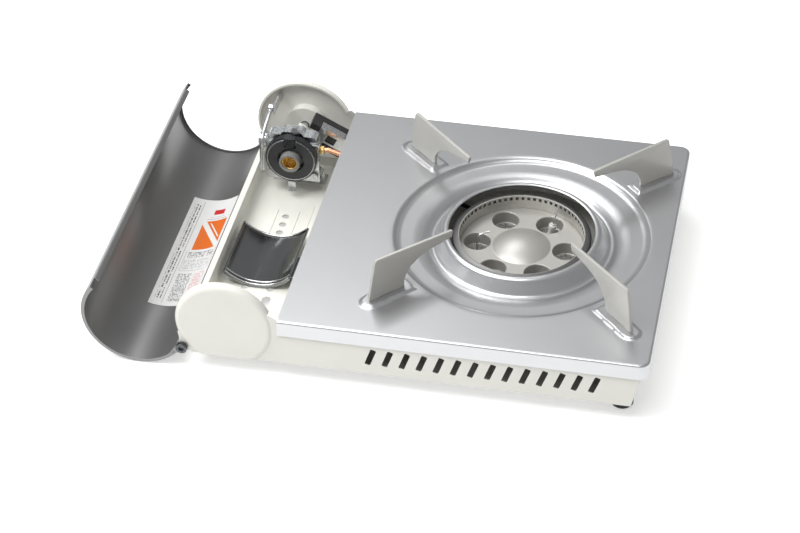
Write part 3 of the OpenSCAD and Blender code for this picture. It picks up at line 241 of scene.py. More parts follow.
finishes = {
    "body_cream": paint("creamPaint", (0.77, 0.765, 0.71), (0.70, 0.695, 0.64)),
    "plate_silver": metal("satinSilver", (0.55, 0.555, 0.565), 0.34, speck=0.12, rough=0.03,
                          metallic=0.92, worn=0.5, cloudy=0.015, relieved=0.003 * mm),
    "support_enamel": paint("warmGreyEnamel", (0.46, 0.455, 0.43), (0.39, 0.385, 0.36), 0.34),
    "burner_steel": metal("burnerPlate", (0.50, 0.49, 0.46), 0.42, rough=0.05,
                          metallic=0.6, worn=0.4, cloudy=0.03),
    # Near-black inside of the burner ring: part soot, part painted shade for the cavity and ports that little
    # light reaches
    "sooty_shaded_steel": metal("sootyShadedSteel", (0.035, 0.034, 0.033), 0.6, metallic=0.4, worn=0.1),
    "ring_steel": metal("ringSteel", (0.20, 0.20, 0.20), 0.38, rough=0.06,
                        metallic=0.8, worn=0.9, cloudy=0.04),
    "screen_steel": metal("screenWire", (0.30, 0.295, 0.28), 0.4),
    "plated_steel": metal("zincPlate", (0.60, 0.61, 0.62), 0.3, rough=0.12),
    "die_cast": metal("castZinc", (0.66, 0.69, 0.71), 0.27, speck=0.2, rough=0.14),
    "socket_grey": moulded("socketGrey", (0.22, 0.22, 0.215), 0.35),
    "brass": metal("brass", (0.72, 0.50, 0.20), 0.22, rough=0.08),
    "copper": metal("copperTube", (0.78, 0.40, 0.24), 0.3, rough=0.1),
    "ceramic": moulded("ceramic", (0.55, 0.54, 0.51), 0.3, depth=0.004 * mm, coat=0.3),
    "polished_steel": metal("mirrorSteel", (0.24, 0.245, 0.25), 0.14, brush=(1, 0.02, 1), rough=0.05,
                            worn=1.0, cloudy=0.03),
    # The cradle's own steel made far paler on its beads: a painted highlight along their ridges
    "bead_highlight_steel": metal("beadHighlightSteel", (0.80, 0.81, 0.82), 0.16, rough=0.05, worn=0.2),
    "black_magnet": moulded("blackMagnet", (0.030, 0.031, 0.033), 0.4),
    "dark_steel": metal("blackenedSteel", (0.10, 0.105, 0.11), 0.3, rough=0.1),
    "black_plastic": moulded("blackPlastic", (0.022, 0.022, 0.023), 0.4),
    "white_plastic": moulded("whitePlastic", (0.75, 0.74, 0.70), 0.4),
    "lead_rubber": moulded("leadRubber", (0.03, 0.03, 0.03), 0.5),
    "lid_grey": metal("lidSatin", (0.24, 0.24, 0.24), 0.38, speck=0.15, rough=0.03,
                      metallic=0.7, worn=0.8, cloudy=0.015, relieved=0.003 * mm),
    "foot_rubber": moulded("footRubber", (0.04, 0.04, 0.042), 0.6, texture=0.5 * mm),
}
print("finishes:", len(finishes))


# Making and placing pieces

bodyOf = {n: body for body, members in frame["record"]["behaviour"]["bodies"].items() for n in members}


def finishPiece(piece, finish, body, stands=(), smooth=35):
    mesh = piece.data
    mesh.materials.clear()
    mesh.materials.append(finishes[finish])
    for poly in mesh.polygons:
        poly.use_smooth = True
        poly.material_index = 0
    if smooth:
        mesh.set_sharp_from_angle(angle=math.radians(smooth))
    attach(piece, body)
    if stands:
        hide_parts(*stands)
    return piece


def addObject(name, data):
    added = bpy.data.objects.new(name, data)
    scene.collection.objects.link(added)
    return added


def meshPiece(name, verts, faces):
    mesh = bpy.data.meshes.new(name)
    mesh.from_pydata([tuple(v) for v in verts], [], [tuple(f) for f in faces])
    mesh.validate()
    return addObject(name, mesh)


@contextmanager
def editing(mesh):
    # Opens a mesh for changes and writes it back
    work = bmesh.new()
    work.from_mesh(mesh)
    yield work
    work.to_mesh(mesh)
    work.free()


def dropLoose(work):
    bmesh.ops.delete(work, geom=[v for v in work.verts if not v.link_faces], context="VERTS")


def faceOutwards(piece):
    with editing(piece.data) as work:
        bmesh.ops.recalc_face_normals(work, faces=work.faces)


def useModifiers(piece):
    graph = bpy.context.evaluated_depsgraph_get()
    mesh = bpy.data.meshes.new_from_object(piece.evaluated_get(graph))
    piece.modifiers.clear()
    piece.data = mesh
    return piece


def thicken(piece, thickness):
    sheet = piece.modifiers.new("sheet", "SOLIDIFY")
    sheet.thickness = thickness
    sheet.offset = -1
    return useModifiers(piece)


def addSoftEdges(piece, width, segments=2, angle=32):
    bevel = piece.modifiers.new("softEdges", "BEVEL")
    bevel.width = width
    bevel.segments = segments
    bevel.limit_method = "ANGLE"
    bevel.angle_limit = math.radians(angle)
    bevel.use_clamp_overlap = True
    weighted = piece.modifiers.new("flatShade", "WEIGHTED_NORMAL")
    weighted.keep_sharp = True
    return piece


def pieceName(node):
    words = node.split("_")
    return words[0] + "".join(w.title() for w in words[1:])


def dressNode(node, finish, width):
    # A merged copy of a CAD solid whose edges are rounded as on the real pressing or casting
    mesh = nodes[node].data.copy()
    with editing(mesh) as work:
        bmesh.ops.remove_doubles(work, verts=work.verts, dist=0.002 * mm)
        bmesh.ops.dissolve_limit(work, angle_limit=math.radians(0.6), verts=work.verts, edges=work.edges)
    piece = addObject(pieceName(node), mesh)
    finishPiece(piece, finish, bodyOf[node], [node])
    return addSoftEdges(piece, width)


def cutSheet(name, loops, thickness, edge, place):
    # A flat blank with holes, drawn in its own plane, pressed to thickness with rounded edges
    curve = bpy.data.curves.new(name, "CURVE")
    curve.dimensions = "2D"
    curve.fill_mode = "BOTH"
    curve.extrude = thickness / 2 - edge
    curve.bevel_depth = edge
    curve.bevel_resolution = 2
    curve.offset = -edge
    for loop in loops:
        line = curve.splines.new("POLY")
        line.points.add(len(loop) - 1)
        for point, (x, y) in zip(line.points, loop):
            point.co = (x, y, 0, 1)
        line.use_cyclic_u = True
    flat = addObject(name, curve)
    bpy.context.view_layer.update()
    mesh = bpy.data.meshes.new_from_object(flat.evaluated_get(bpy.context.evaluated_depsgraph_get()))
    bpy.data.objects.remove(flat)
    mesh.transform(place)
    with editing(mesh) as work:
        bmesh.ops.remove_doubles(work, verts=work.verts, dist=0.001 * mm)
        bmesh.ops.recalc_face_normals(work, faces=work.faces)
    return addObject(name, mesh)


def arc(cx, cy, radius, start, end, count):
    steps = np.radians(np.linspace(start, end, count))
    return [(cx + radius * math.cos(a), cy + radius * math.sin(a)) for a in steps]


# Cooking plate. Arcs are given as start and end in degrees, and the rays that the top is drawn on as start,
# end and step.

plateLook = {
    "width": 264 * mm, "depth": 260 * mm, "thickness": 0.8 * mm, "skirt": 12.5 * mm,
    "cornerRadius": 8 * mm, "edgeRadius": 1.7 * mm,
    "holeRadius": 54 * mm, "lipRadius": 3.6 * mm, "lipArc": (118, 10),
    "gutterRadius": 66 * mm, "gutterDepth": 8 * mm, "gutterBend": 3.5 * mm, "gutterArc": (205, 335),
    "bandRadius": 75 * mm, "bandSag": 0.3 * mm, "flatSag": 0.2 * mm, "flatRun": 6 * mm,
    "dishRadius": 94.5 * mm, "step": 3.2 * mm, "footRun": 2.6 * mm, "footRise": 0.15 * mm,
    "beadRadius": 2.4 * mm, "beadOffset": 1 * mm, "beadArc": (150, 90), "blend": 4 * mm,
    "padHeight": 2 * mm, "padHalfWidth": 7.75 * mm, "padInner": 99.5 * mm, "padOuter": 142 * mm,
    "padSlope": 1.7 * mm, "supportAngles": (226.3, -46.3, 137.7, 42.3),
    "padRays": (-6, 6.01, 0.42), "otherRays": (-180, 180, 1.5), "clearOfPads": 6.2,
    "cornerRays": ((-49.4, -44, 0.5), (46.0, 51.6, 0.5)), "topRings": 61,
}


def dishProfile(p):
    # Radius and height of the pressed dish, from the rolled lip outwards
    turn, lipEnd = p["lipArc"]
    lipX = p["holeRadius"] - p["lipRadius"] * math.cos(math.radians(turn))
    lip = arc(lipX, lipHeight - p["lipRadius"], p["lipRadius"], turn, lipEnd, 13)
    bend = p["gutterBend"]
    gutter = arc(p["gutterRadius"], bend - p["gutterDepth"], bend, *p["gutterArc"], 11)
    floor, rim = -p["step"], p["dishRadius"]
    flat = [(p["bandRadius"], floor - p["bandSag"]), (p["bandRadius"] + p["flatRun"], floor - p["flatSag"]),
            (rim - p["flatRun"], floor), (rim - p["footRun"], floor + p["footRise"])]
    bead = arc(rim + p["beadOffset"], -p["beadRadius"], p["beadRadius"], *p["beadArc"], 7)
    return lip + gutter + flat + bead + [(rim + p["blend"], 0)]


def padLift(x, y, p):
    # Height of the four pads pressed up under the pot supports
    lift = np.zeros_like(x)
    for angle in p["supportAngles"]:
        a = math.radians(angle)
        u = x * math.cos(a) + y * math.sin(a)
        v = np.abs(-x * math.sin(a) + y * math.cos(a))
        bend = p["padOuter"] - p["padHalfWidth"]
        sideways = p["padHalfWidth"] - v
        roundEnd = p["padHalfWidth"] - np.hypot(np.maximum(u - bend, 0), v)
        inside = np.minimum(np.where(u > bend, roundEnd, sideways), u - p["padInner"])
        t = np.clip(inside / p["padSlope"], 0, 1)
        lift = np.maximum(lift, p["padHeight"] * t * t * (3 - 2 * t))
    return lift


def plateEdge(angle, p):
    # Where a ray from the burner axis meets the flat top's edge, and the way out there
    bx, by = burnerX - plateX, burnerY - plateY
    inset = p["edgeRadius"]
    c, s = math.cos(angle), math.sin(angle)
    right, near, far = p["width"] - inset, inset, p["depth"] - inset
    parallel = 1e-9
    hits = []
    if c > parallel:
        hits.append(((right - bx) / c, (1, 0)))
    if c < -parallel:
        hits.append((-bx / c, (-1, 0)))
    if s > parallel:
        hits.append(((far - by) / s, (0, 1)))
    if s < -parallel:
        hits.append(((near - by) / s, (0, -1)))
    reach, out = min(hits)
    x, y = bx + c * reach, by + s * reach
    r = p["cornerRadius"] - inset
    for cy, side in ((near + r, -1), (far - r, 1)):
        cx = right - r
        if x > cx and (y - cy) * side > 0:
            dx, dy = bx - cx, by - cy
            half = c * dx + s * dy
            reach = -half + math.sqrt(half * half - (dx * dx + dy * dy - r * r))
            x, y = bx + c * reach, by + s * reach
            out = ((x - cx) / r, (y - cy) / r)
    return x, y, out


def plateRays(p):
    # Directions from the burner axis, each once, closer together across the pads and round the two corners
    bx, by = burnerX - plateX, burnerY - plateY
    degrees = [a + d for a in p["supportAngles"] for d in np.arange(*p["padRays"])]
    degrees += [a for a in np.arange(*p["otherRays"])
                if all(abs((a - b + 180) % 360 - 180) > p["clearOfPads"] for b in p["supportAngles"])]
    degrees += [a for fan in p["cornerRays"] for a in np.arange(*fan)]
    rays = [math.radians(a) for a in degrees]
    rays += [math.atan2(y - by, -bx) for y in (p["edgeRadius"], p["depth"] - p["edgeRadius"])]
    return np.unique(np.round([(a + math.pi) % (2 * math.pi) - math.pi for a in rays], 5))


def makePlate():
    # Rings of points round the burner axis: the dish, the top with its pads, the folded edge, the skirt
    p = plateLook
    bx, by = burnerX - plateX, burnerY - plateY
    angles = plateRays(p)
    count = len(angles)
    c, s = np.cos(angles), np.sin(angles)
    profile = dishProfile(p)
    rings = [np.stack([r * c, r * s, np.full(count, z)], 1) for r, z in profile]
    edge = [plateEdge(a, p) for a in angles]
    ex = np.array([x - bx for x, y, out in edge])
    ey = np.array([y - by for x, y, out in edge])
    nx = np.array([out[0] for x, y, out in edge])
    ny = np.array([out[1] for x, y, out in edge])
    # A corner ray at the open left side folds down with the near or far skirt
    fold = p["edgeRadius"]
    for i, (x, y) in enumerate(zip(ex + bx, ey + by)):
        if x < 0.001 * mm and min(abs(y - fold), abs(y - p["depth"] + fold)) < 0.02 * mm:
            nx[i], ny[i] = 0, -1 if y < by else 1
    start = profile[-1][0]
    for t in np.linspace(0, 1, p["topRings"] + 1)[1:]:
        x = start * c * (1 - t) + ex * t
        y = start * s * (1 - t) + ey * t
        rings.append(np.stack([x, y, padLift(x, y, p)], 1))
    folded = len(rings)
    for a in np.radians(np.linspace(0, 90, 6)[1:]):
        reach, drop = fold * math.sin(a), fold * (1 - math.cos(a))
        rings.append(np.stack([ex + reach * nx, ey + reach * ny, np.full(count, -drop)], 1))
    for share in (0.6, 1.0):
        rings.append(np.stack([ex + fold * nx, ey + fold * ny, np.full(count, -p["skirt"] * share)], 1))
    verts = np.concatenate(rings) + np.array([burnerX, burnerY, plateTop])
    faces = []
    for i in range(len(rings) - 1):
        for j in range(count):
            k = (j + 1) % count
            leftSide = nx[j] < -0.5 or nx[k] < -0.5
            if i >= folded - 1 and leftSide:
                continue
            faces.append((i * count + j, (i + 1) * count + j, (i + 1) * count + k, i * count + k))
    piece = meshPiece("topPlate", verts, faces)
    with editing(piece.data) as work:
        dropLoose(work)
    thicken(piece, p["thickness"])
    return finishPiece(piece, "plate_silver", "stove", ["top_plate"], smooth=50)


topPlate = makePlate()
print("plate:", len(topPlate.data.polygons), "faces")


# Pot supports. Bow points are steps in from the inner foot and up; nose and back points are steps in from
# the tip or the outer end and down from the top.

supportLook = {
    "thickness": 2.5 * mm, "edge": 0.55 * mm, "height": 36 * mm,
    "outer": 136 * mm, "inner": 105.5 * mm, "tip": 62.5 * mm,
    "bow": ((0.4 * mm, 6 * mm), (4 * mm, 13 * mm), (10 * mm, 18 * mm), (20 * mm, 22 * mm)),
    "nose": ((1.2 * mm, 9 * mm), (0, 4 * mm), (0.8 * mm, 3.2 * mm)),
    "back": ((8 * mm, 0), (6.4 * mm, 0.9 * mm), (5.8 * mm, 2.6 * mm)),
    "tabLength": 7 * mm, "tabDrop": 3 * mm, "tabInset": 1.5 * mm,
    "sides": ("near_left", "near_right", "far_left", "far_right"),
}


def supportOutline(p, foot):
    # The blade in its own plane: a smooth bow from its foot to its nose, then its back, then two tabs
    inner, outer, tip, top = p["inner"], p["outer"], p["tip"], p["height"]
    bow = [(inner - x, foot + rise) for x, rise in p["bow"]]
    nose = [(tip + x, top - drop) for x, drop in p["nose"]]
    knots = [Vector(point) for point in [(inner, foot), *bow, nose[0]]]
    line = []
    for i in range(len(knots) - 1):
        a, b, c, d = knots[max(i - 1, 0)], knots[i], knots[i + 1], knots[min(i + 2, len(knots) - 1)]
        for t in np.linspace(0, 1, 7)[:-1]:
            point = 0.5 * (2 * b + (c - a) * t + (2 * a - 5 * b + 4 * c - d) * t ** 2
                           + (3 * b - a - 3 * c + d) * t ** 3)
            line.append(tuple(point))
    line += nose + [(outer - x, top - drop) for x, drop in p["back"]] + [(outer, foot)]
    low = -plateLook["thickness"] - p["tabDrop"]
    for x in (outer - p["tabInset"], inner + p["tabInset"] + p["tabLength"]):
        line += [(x, foot), (x, low), (x - p["tabLength"], low), (x - p["tabLength"], foot)]
    return line


def makeSupports():
    p = supportLook
    line = supportOutline(p, plateLook["padHeight"])
    upright = Matrix.Rotation(math.radians(90), 4, "X")
    for angle, side in zip(plateLook["supportAngles"], p["sides"]):
        node = "pot_support_" + side
        turned = Matrix.Rotation(math.radians(angle), 4, "Z")
        place = Matrix.Translation((burnerX, burnerY, plateTop)) @ turned @ upright
        blade = cutSheet(pieceName(node), [line], p["thickness"], p["edge"], place)
        finishPiece(blade, "support_enamel", "stove", [node], smooth=40)


makeSupports()
print("pot supports:", len(supportLook["sides"]))


# Canister lid, drawn open: angles are those of the closed lid, and the swing opens it

lidLook = {
    "radius": 40 * mm, "thickness": 0.8 * mm, "fromAngle": 24, "toAngle": 204, "swing": 114,
    "hingeReach": 39.5 * mm, "hingeAngle": 216, "lipRadius": 37 * mm, "bend": 1.1 * mm, "endRun": 4 * mm,
    "edgeRadius": 36 * mm, "edgeNear": 10 * mm, "edgeFar": 9.4 * mm,
    "earRadius": 4.4 * mm, "earAngle": 196, "earArc": (190, 420), "earInset": 0.1 * mm, "earHole": 2.05 * mm,
    "columns": 72, "rows": 48,
}


def lidFrame(p):
    # Where the axis of the lid's curve is when the lid stands open
    a = math.radians(p["hingeAngle"] - 180 + p["swing"])
    return hingeX + p["hingeReach"] * math.cos(a), hingeZ + p["hingeReach"] * math.sin(a)


def lidPoint(p, r, angle):
    # A point given on the closed lid, moved to where it stands when the lid is open
    cx, cz = lidFrame(p)
    a = math.radians(angle + p["swing"])
    return cx + r * math.cos(a), cz + r * math.sin(a)


def lidSection(p, length):
    # Radius and place along the lid, from the near end's lip to the far end's
    bend, radius = p["bend"], p["radius"]
    end = [(p["lipRadius"], 0), (radius - bend, 0)]
    end += [(radius - bend + bend * math.sin(a), bend * (1 - math.cos(a))) for a in np.radians((30, 60, 90))]
    body = [*np.linspace(p["endRun"], length - p["endRun"], p["rows"]), p["edgeNear"], length - p["edgeFar"]]
    return end + [(radius, y) for y in sorted(body)] + [(r, length - y) for r, y in reversed(end)]


def makeLid():
    # Columns of points round the lid; the first four bend inwards as the lip along its free edge
    p = lidLook
    cx, cz = lidFrame(p)
    length = lidHigh.y - lidLow.y
    bend, radius = p["bend"], p["radius"]
    rows = lidSection(p, length)
    start, end = p["fromAngle"] + p["swing"], p["toAngle"] + p["swing"]
    rim = math.degrees(bend / radius)
    first = math.radians(start + rim)
    out = Vector((math.cos(first), 0, math.sin(first)))
    along = Vector((math.sin(first), 0, -math.cos(first)))
    edge = []
    for turn in np.radians((30, 60, 90)):
        reach, rise = bend * math.cos(turn), bend * math.sin(turn)
        edge.append([out * (r - bend + reach) + along * rise + Vector((0, y, 0)) for r, y in rows])
    edge.append([out * p["edgeRadius"] + along * bend + Vector((0, y, 0)) for r, y in rows])
    columns = [[tuple(v) for v in column] for column in reversed(edge)]
    for a in np.linspace(start + rim, end, p["columns"]):
        columns.append([(r * math.cos(math.radians(a)), y, r * math.sin(math.radians(a))) for r, y in rows])
    count = len(rows)
    faces = []
    slack = 0.001 * mm
    low, high = p["edgeNear"] - slack, length - p["edgeFar"] + slack
    for i in range(len(columns) - 1):
        for j in range(count - 1):
            ys = rows[j][1], rows[j + 1][1]
            if i < len(edge) and (min(ys) < low or max(ys) > high):
                continue
            faces.append((i * count + j, (i + 1) * count + j, (i + 1) * count + j + 1, i * count + j + 1))
    verts = [(cx + x, lidLow.y + y, cz + z) for column in columns for x, y, z in column]
    piece = meshPiece("canisterLid", verts, faces)
    # The sheet thickens inwards, so its faces have to look away from the lid's axis
    with editing(piece.data) as work:
        dropLoose(work)
        work.normal_update()
        probe = max(work.faces, key=lambda f: f.calc_area())
        spot = probe.calc_center_median() - Vector((cx, 0, cz))
        if probe.normal.dot(Vector((spot.x, 0, spot.z))) < 0:
            bmesh.ops.reverse_faces(work, faces=work.faces)
    thicken(piece, p["thickness"])
    finishPiece(piece, "lid_grey", "lid", ["canister_lid"], smooth=50)


def makeLidEars():
    p = lidLook
    inset, swing = p["earInset"], p["swing"]
    loop = [lidPoint(p, p["lipRadius"] - inset, p["earAngle"]),
            lidPoint(p, p["radius"] - inset, p["toAngle"] - 0.1)]
    loop += arc(hingeX, hingeZ, p["earRadius"], *[a + swing for a in p["earArc"]], 30)
    hole = arc(hingeX, hingeZ, p["earHole"], 0, 360, 25)[:-1]
    upright = Matrix.Rotation(math.radians(90), 4, "X")
    for side, y in (("Near", lidLow.y + p["thickness"] / 2), ("Far", lidHigh.y - p["thickness"] / 2)):
        place = Matrix.Translation((0, y, 0)) @ upright
        ear = cutSheet("lidEar" + side, [loop, hole], p["thickness"], 0.15 * mm, place)
        finishPiece(ear, "lid_grey", "lid", smooth=40)


makeLid()
makeLidEars()
print("lid made")


# Label inside the lid. Its print is laid out in millimetres, s along the lid and t across it.

labelLook = {
    "radius": 38.98 * mm, "thickness": 0.12 * mm, "fromAngle": 138.5, "toAngle": 195.2,
    "length": 131, "width": 38.6, "columns": 49, "rows": 33,
    "orange": (0.78, 0.16, 0.015), "red": (0.62, 0.02, 0.02), "pink": (0.72, 0.30, 0.32),
    "ink": (0.07, 0.07, 0.08), "rule": (0.35, 0.35, 0.36),
    "paper": (0.84, 0.84, 0.83), "shade": (0.75, 0.76, 0.77),
}


def printedLabel():
    # Plain blocks, rules and rows of dashes
    p = labelLook
    mat, tree, shader = startFinish("printedLabel", p["paper"], 0.0, 0.4, Coat_Weight=0.3, Coat_Roughness=0.2)
    uv = makeNode(tree, "ShaderNodeUVMap", uv_map="label")
    parts = makeNode(tree, "ShaderNodeSeparateXYZ", {"Vector": uv.outputs["UV"]})
    s = sums(tree, "MULTIPLY", parts.outputs["X"], p["length"])
    t = sums(tree, "MULTIPLY", parts.outputs["Y"], p["width"])

    def both(first, second):
        return sums(tree, "MULTIPLY", first, second)

    def between(value, low, high):
        return both(sums(tree, "GREATER_THAN", value, low), sums(tree, "LESS_THAN", value, high))

    def block(s0, s1, t0, t1):
        return both(between(s, s0, s1), between(t, t0, t1))

    def dashes(s0, s1, t0, t1, pitch, along, seed, amount=0.47):
        # Rows across t, broken into marks of uneven length along s (or the other way round)
        row, run = (t, s) if along else (s, t)
        counted = sums(tree, "DIVIDE", row, pitch)
        stripe = sums(tree, "LESS_THAN", sums(tree, "FRACT", counted, 0), 0.5)
        spread = sums(tree, "MULTIPLY", sums(tree, "FLOOR", counted, 0), 7.3)
        place = makeNode(tree, "ShaderNodeCombineXYZ", {"X": run, "Y": spread, "Z": seed})
        marks = makeNode(tree, "ShaderNodeTexNoise", {
            "Vector": place.outputs[0], "Scale": 1.3, "Detail": 1.0})
        broken = sums(tree, "GREATER_THAN", marks.outputs["Fac"], amount)
        return both(block(s0, s1, t0, t1), both(stripe, broken))

    slope = sums(tree, "ADD", sums(tree, "MULTIPLY", s, 0.6), t)
    inks = [
        (block(68, 104, 15, 36), p["orange"]),
        (both(block(68, 104, 15, 36), between(slope, 75, 80)), p["paper"]),
        (both(block(71, 101, 17, 34), between(slope, 82, 83.2)), p["paper"]),
        (block(112, 118, 21, 30), p["red"]),
        (block(106, 106.6, 17, 34), p["rule"]),
        (block(108.6, 109.0, 19, 32), p["rule"]),
        (block(3, 128, 9.6, 10.0), p["rule"]),
        (block(42, 42.4, 12, 37), p["rule"]),
        (dashes(8, 124, 3.2, 7.8, 2.3, True, 1.0), p["ink"]),
        (dashes(58, 65, 14, 36, 1.6, False, 2.0), p["ink"]),
        (dashes(44, 56, 13, 36, 1.5, False, 3.0, 0.5), p["rule"]),
        (dashes(5, 39, 13, 24, 1.5, False, 4.0), p["ink"]),
        (dashes(5, 39, 26, 36, 1.5, False, 5.0), p["pink"]),
        (block(42.4, 66, 12, 12.3), p["rule"]),
        (block(42.4, 66, 37, 37.3), p["rule"]),
    ]
    tone = band(tree, grain(tree, where(tree), 9 * mm, 3), 0.35, 0.7)
    colour = mixColours(tree, sums(tree, "MULTIPLY", tone, 0.3), p["paper"], p["shade"])
    for mask, ink in inks:
        colour = mixColours(tree, mask, colour, ink)
    tree.links.new(colour, shader.inputs["Base Color"])
    relief(tree, shader, grain(tree, where(tree), 0.5 * mm, 2), 0.004 * mm)
    return mat


def makeLabel():
    p = labelLook
    labelLow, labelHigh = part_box("lid_label")
    cx, cz = lidFrame(lidLook)
    columns, rows = p["columns"], p["rows"]
    angles = np.radians(np.linspace(p["fromAngle"], p["toAngle"], columns) + lidLook["swing"])
    ys = np.linspace(labelLow.y, labelHigh.y, rows)
    verts = [(cx + p["radius"] * math.cos(a), y, cz + p["radius"] * math.sin(a)) for a in angles for y in ys]
    faces = [(i * rows + j, i * rows + j + 1, (i + 1) * rows + j + 1, (i + 1) * rows + j)
             for i in range(columns - 1) for j in range(rows - 1)]
    label = meshPiece("lidLabel", verts, faces)
    layer = label.data.uv_layers.new(name="label")
    for loop in label.data.loops:
        i, j = divmod(loop.vertex_index, rows)
        layer.data[loop.index].uv = (j / (rows - 1), i / (columns - 1))
    thicken(label, p["thickness"])
    finishPiece(label, "label_paper", "lid", ["lid_label"], smooth=40)


finishes["label_paper"] = printedLabel()
makeLabel()
print("label made")


# Burner ring, its screens and the cradle's beads

burnerLook = {
    "innerRadius": 46 * mm, "outerRadius": 51.3 * mm, "wall": 0.8 * mm, "skirt": 4 * mm, "drop": 1.3 * mm,
    "bottom": 42.3 * mm, "ports": 66, "portWidth": 2.2 * mm, "portHeight": 2.5 * mm, "portTop": 1.35 * mm,
    "tubes": 6, "tubePitch": 33.2 * mm, "screenRadius": 9.7 * mm, "wire": 0.16 * mm, "mesh": 1.15 * mm,
    "wireSides": 6, "overlap": 1.04,
}


def ringSection(p):
    # Radius and height round the ring's wall, and the finish of the band that starts at each point:
    # 0 for the wall with the ports, 1 for the rim and skirt, 2 for the inside, sooty and darkened further as
    # painted shade
    top, inner, outer, wall = ringHigh.z, p["innerRadius"], p["outerRadius"], p["wall"]
    portTop = top - p["portTop"]
    portLow = portTop - p["portHeight"]
    rim = top - p["drop"]
    hem = rim - p["skirt"]
    bright = [(inner, p["bottom"]), (inner, portLow), (inner, portTop), (inner, top - 0.5 * mm),
              (inner + 0.2 * mm, top - 0.12 * mm)]
    dark = [(inner + 0.6 * mm, top), (inner + 1.1 * mm, top - 0.1 * mm), (outer - 1.2 * mm, rim + 0.1 * mm),
            (outer - 0.3 * mm, rim - 0.3 * mm), (outer, rim - 0.9 * mm), (outer, hem)]
    # The inside of the ring, near-black: soot, and painted shade where little light gets in
    sootyShaded = [(outer - wall, hem), (outer - wall, rim - 1.2 * mm), (outer - 1.6 * mm, rim - wall),
             (inner + 1.6 * mm, top - 1.1 * mm), (inner + wall, portTop), (inner + wall, portLow)]
    kinds = [0] * len(bright) + [1] * len(dark) + [2] * len(sootyShaded) + [0]
    return bright + dark + sootyShaded + [(inner + wall, p["bottom"])], kinds


def makeRing():
    # The section is turned round the burner axis, and where a port goes through, four faces line it
    p = burnerLook
    section, bandKinds = ringSection(p)
    pitch = 2 * math.pi / p["ports"]
    half = p["portWidth"] / p["innerRadius"] / 2
    gap = pitch - 2 * half
    angles = []
    for k in range(p["ports"]):
        base = k * pitch
        angles += [base - half, base + half, base + half + gap / 3, base + half + 2 * gap / 3]
    verts = [(burnerX + r * math.cos(a), burnerY + r * math.sin(a), z) for a in angles for r, z in section]
    faces, kinds = [], []
    count, rows = len(angles), len(section)
    inLow, inTop = 1, 2
    outTop, outLow = rows - 3, rows - 2
    for i in range(count):
        port = i % 4 == 0
        near, far = i * rows, (i + 1) % count * rows
        for j in range(rows):
            if port and j in (inLow, outTop):
                continue
            n = (j + 1) % rows
            faces.append((near + j, far + j, far + n, near + n))
            kinds.append(bandKinds[j])
        if port:
            faces.append((near + inLow, near + inTop, near + outTop, near + outLow))
            faces.append((far + outLow, far + outTop, far + inTop, far + inLow))
            faces.append((near + inTop, far + inTop, far + outTop, near + outTop))
            faces.append((near + outLow, far + outLow, far + inLow, near + inLow))
            # Port linings get the near-black inside finish, as painted shade
            kinds += [2] * 4
    piece = meshPiece("burnerRing", verts, faces)
    faceOutwards(piece)
    finishPiece(piece, "burner_steel", "stove", ["burner_ring"], smooth=40)
    piece.data.materials.append(finishes["ring_steel"])
    piece.data.materials.append(finishes["sooty_shaded_steel"])
    for poly, kind in zip(piece.data.polygons, kinds):
        poly.material_index = kind


def meshNodes(p):
    # Geometry Nodes: a grid of points where each carries a short crossing of two wires, kept inside a disc
    tree = bpy.data.node_groups.new("wireMesh", "GeometryNodeTree")
    face = tree.interface
    face.new_socket("Geometry", in_out="INPUT", socket_type="NodeSocketGeometry")
    for name in ("Radius", "Mesh", "Wire"):
        face.new_socket(name, in_out="INPUT", socket_type="NodeSocketFloat")
    face.new_socket("Finish", in_out="INPUT", socket_type="NodeSocketMaterial")
    face.new_socket("Geometry", in_out="OUTPUT", socket_type="NodeSocketGeometry")
    enter = makeNode(tree, "NodeGroupInput")
    leave = makeNode(tree, "NodeGroupOutput")
    radius, pitch, wire = (enter.outputs[name] for name in ("Radius", "Mesh", "Wire"))
    span = sums(tree, "MULTIPLY", radius, 2.0)
    number = sums(tree, "FLOOR", sums(tree, "DIVIDE", span, pitch), 0)
    grid = makeNode(tree, "GeometryNodeMeshGrid", {
        "Size X": span, "Size Y": span, "Vertices X": number, "Vertices Y": number})
    points = makeNode(tree, "GeometryNodeMeshToPoints", {"Mesh": grid.outputs["Mesh"]})
    place = makeNode(tree, "GeometryNodeInputPosition")
    far = makeNode(tree, "ShaderNodeVectorMath", {0: place.outputs["Position"]}, operation="LENGTH")
    outside = makeNode(tree, "FunctionNodeCompare", data_type="FLOAT", operation="GREATER_THAN")
    tree.links.new(far.outputs["Value"], outside.inputs[0])
    tree.links.new(sums(tree, "SUBTRACT", radius, pitch), outside.inputs[1])
    kept = makeNode(tree, "GeometryNodeDeleteGeometry", {
        "Geometry": points.outputs["Points"], "Selection": outside.outputs["Result"]}, domain="POINT")
    bars = []
    quarter = math.pi / 2
    for turn, lift in (((0, quarter, 0), 0.5), ((quarter, 0, 0), -0.5)):
        length = sums(tree, "MULTIPLY", pitch, p["overlap"])
        bar = makeNode(tree, "GeometryNodeMeshCylinder", {
            "Vertices": p["wireSides"], "Radius": wire, "Depth": length})
        up = makeNode(tree, "ShaderNodeCombineXYZ", {"Z": sums(tree, "MULTIPLY", wire, lift)})
        turned = makeNode(tree, "GeometryNodeTransform", {
            "Geometry": bar.outputs["Mesh"], "Translation": up.outputs["Vector"], "Rotation": turn})
        bars.append(turned.outputs["Geometry"])
    cross = makeNode(tree, "GeometryNodeJoinGeometry")
    for bar in bars:
        tree.links.new(bar, cross.inputs["Geometry"])
    spread = makeNode(tree, "GeometryNodeInstanceOnPoints", {
        "Points": kept.outputs["Geometry"], "Instance": cross.outputs["Geometry"]})
    real = makeNode(tree, "GeometryNodeRealizeInstances", {"Geometry": spread.outputs["Instances"]})
    tinted = makeNode(tree, "GeometryNodeSetMaterial", {
        "Geometry": real.outputs["Geometry"], "Material": enter.outputs["Finish"]})
    tree.links.new(tinted.outputs["Geometry"], leave.inputs["Geometry"])
    return tree


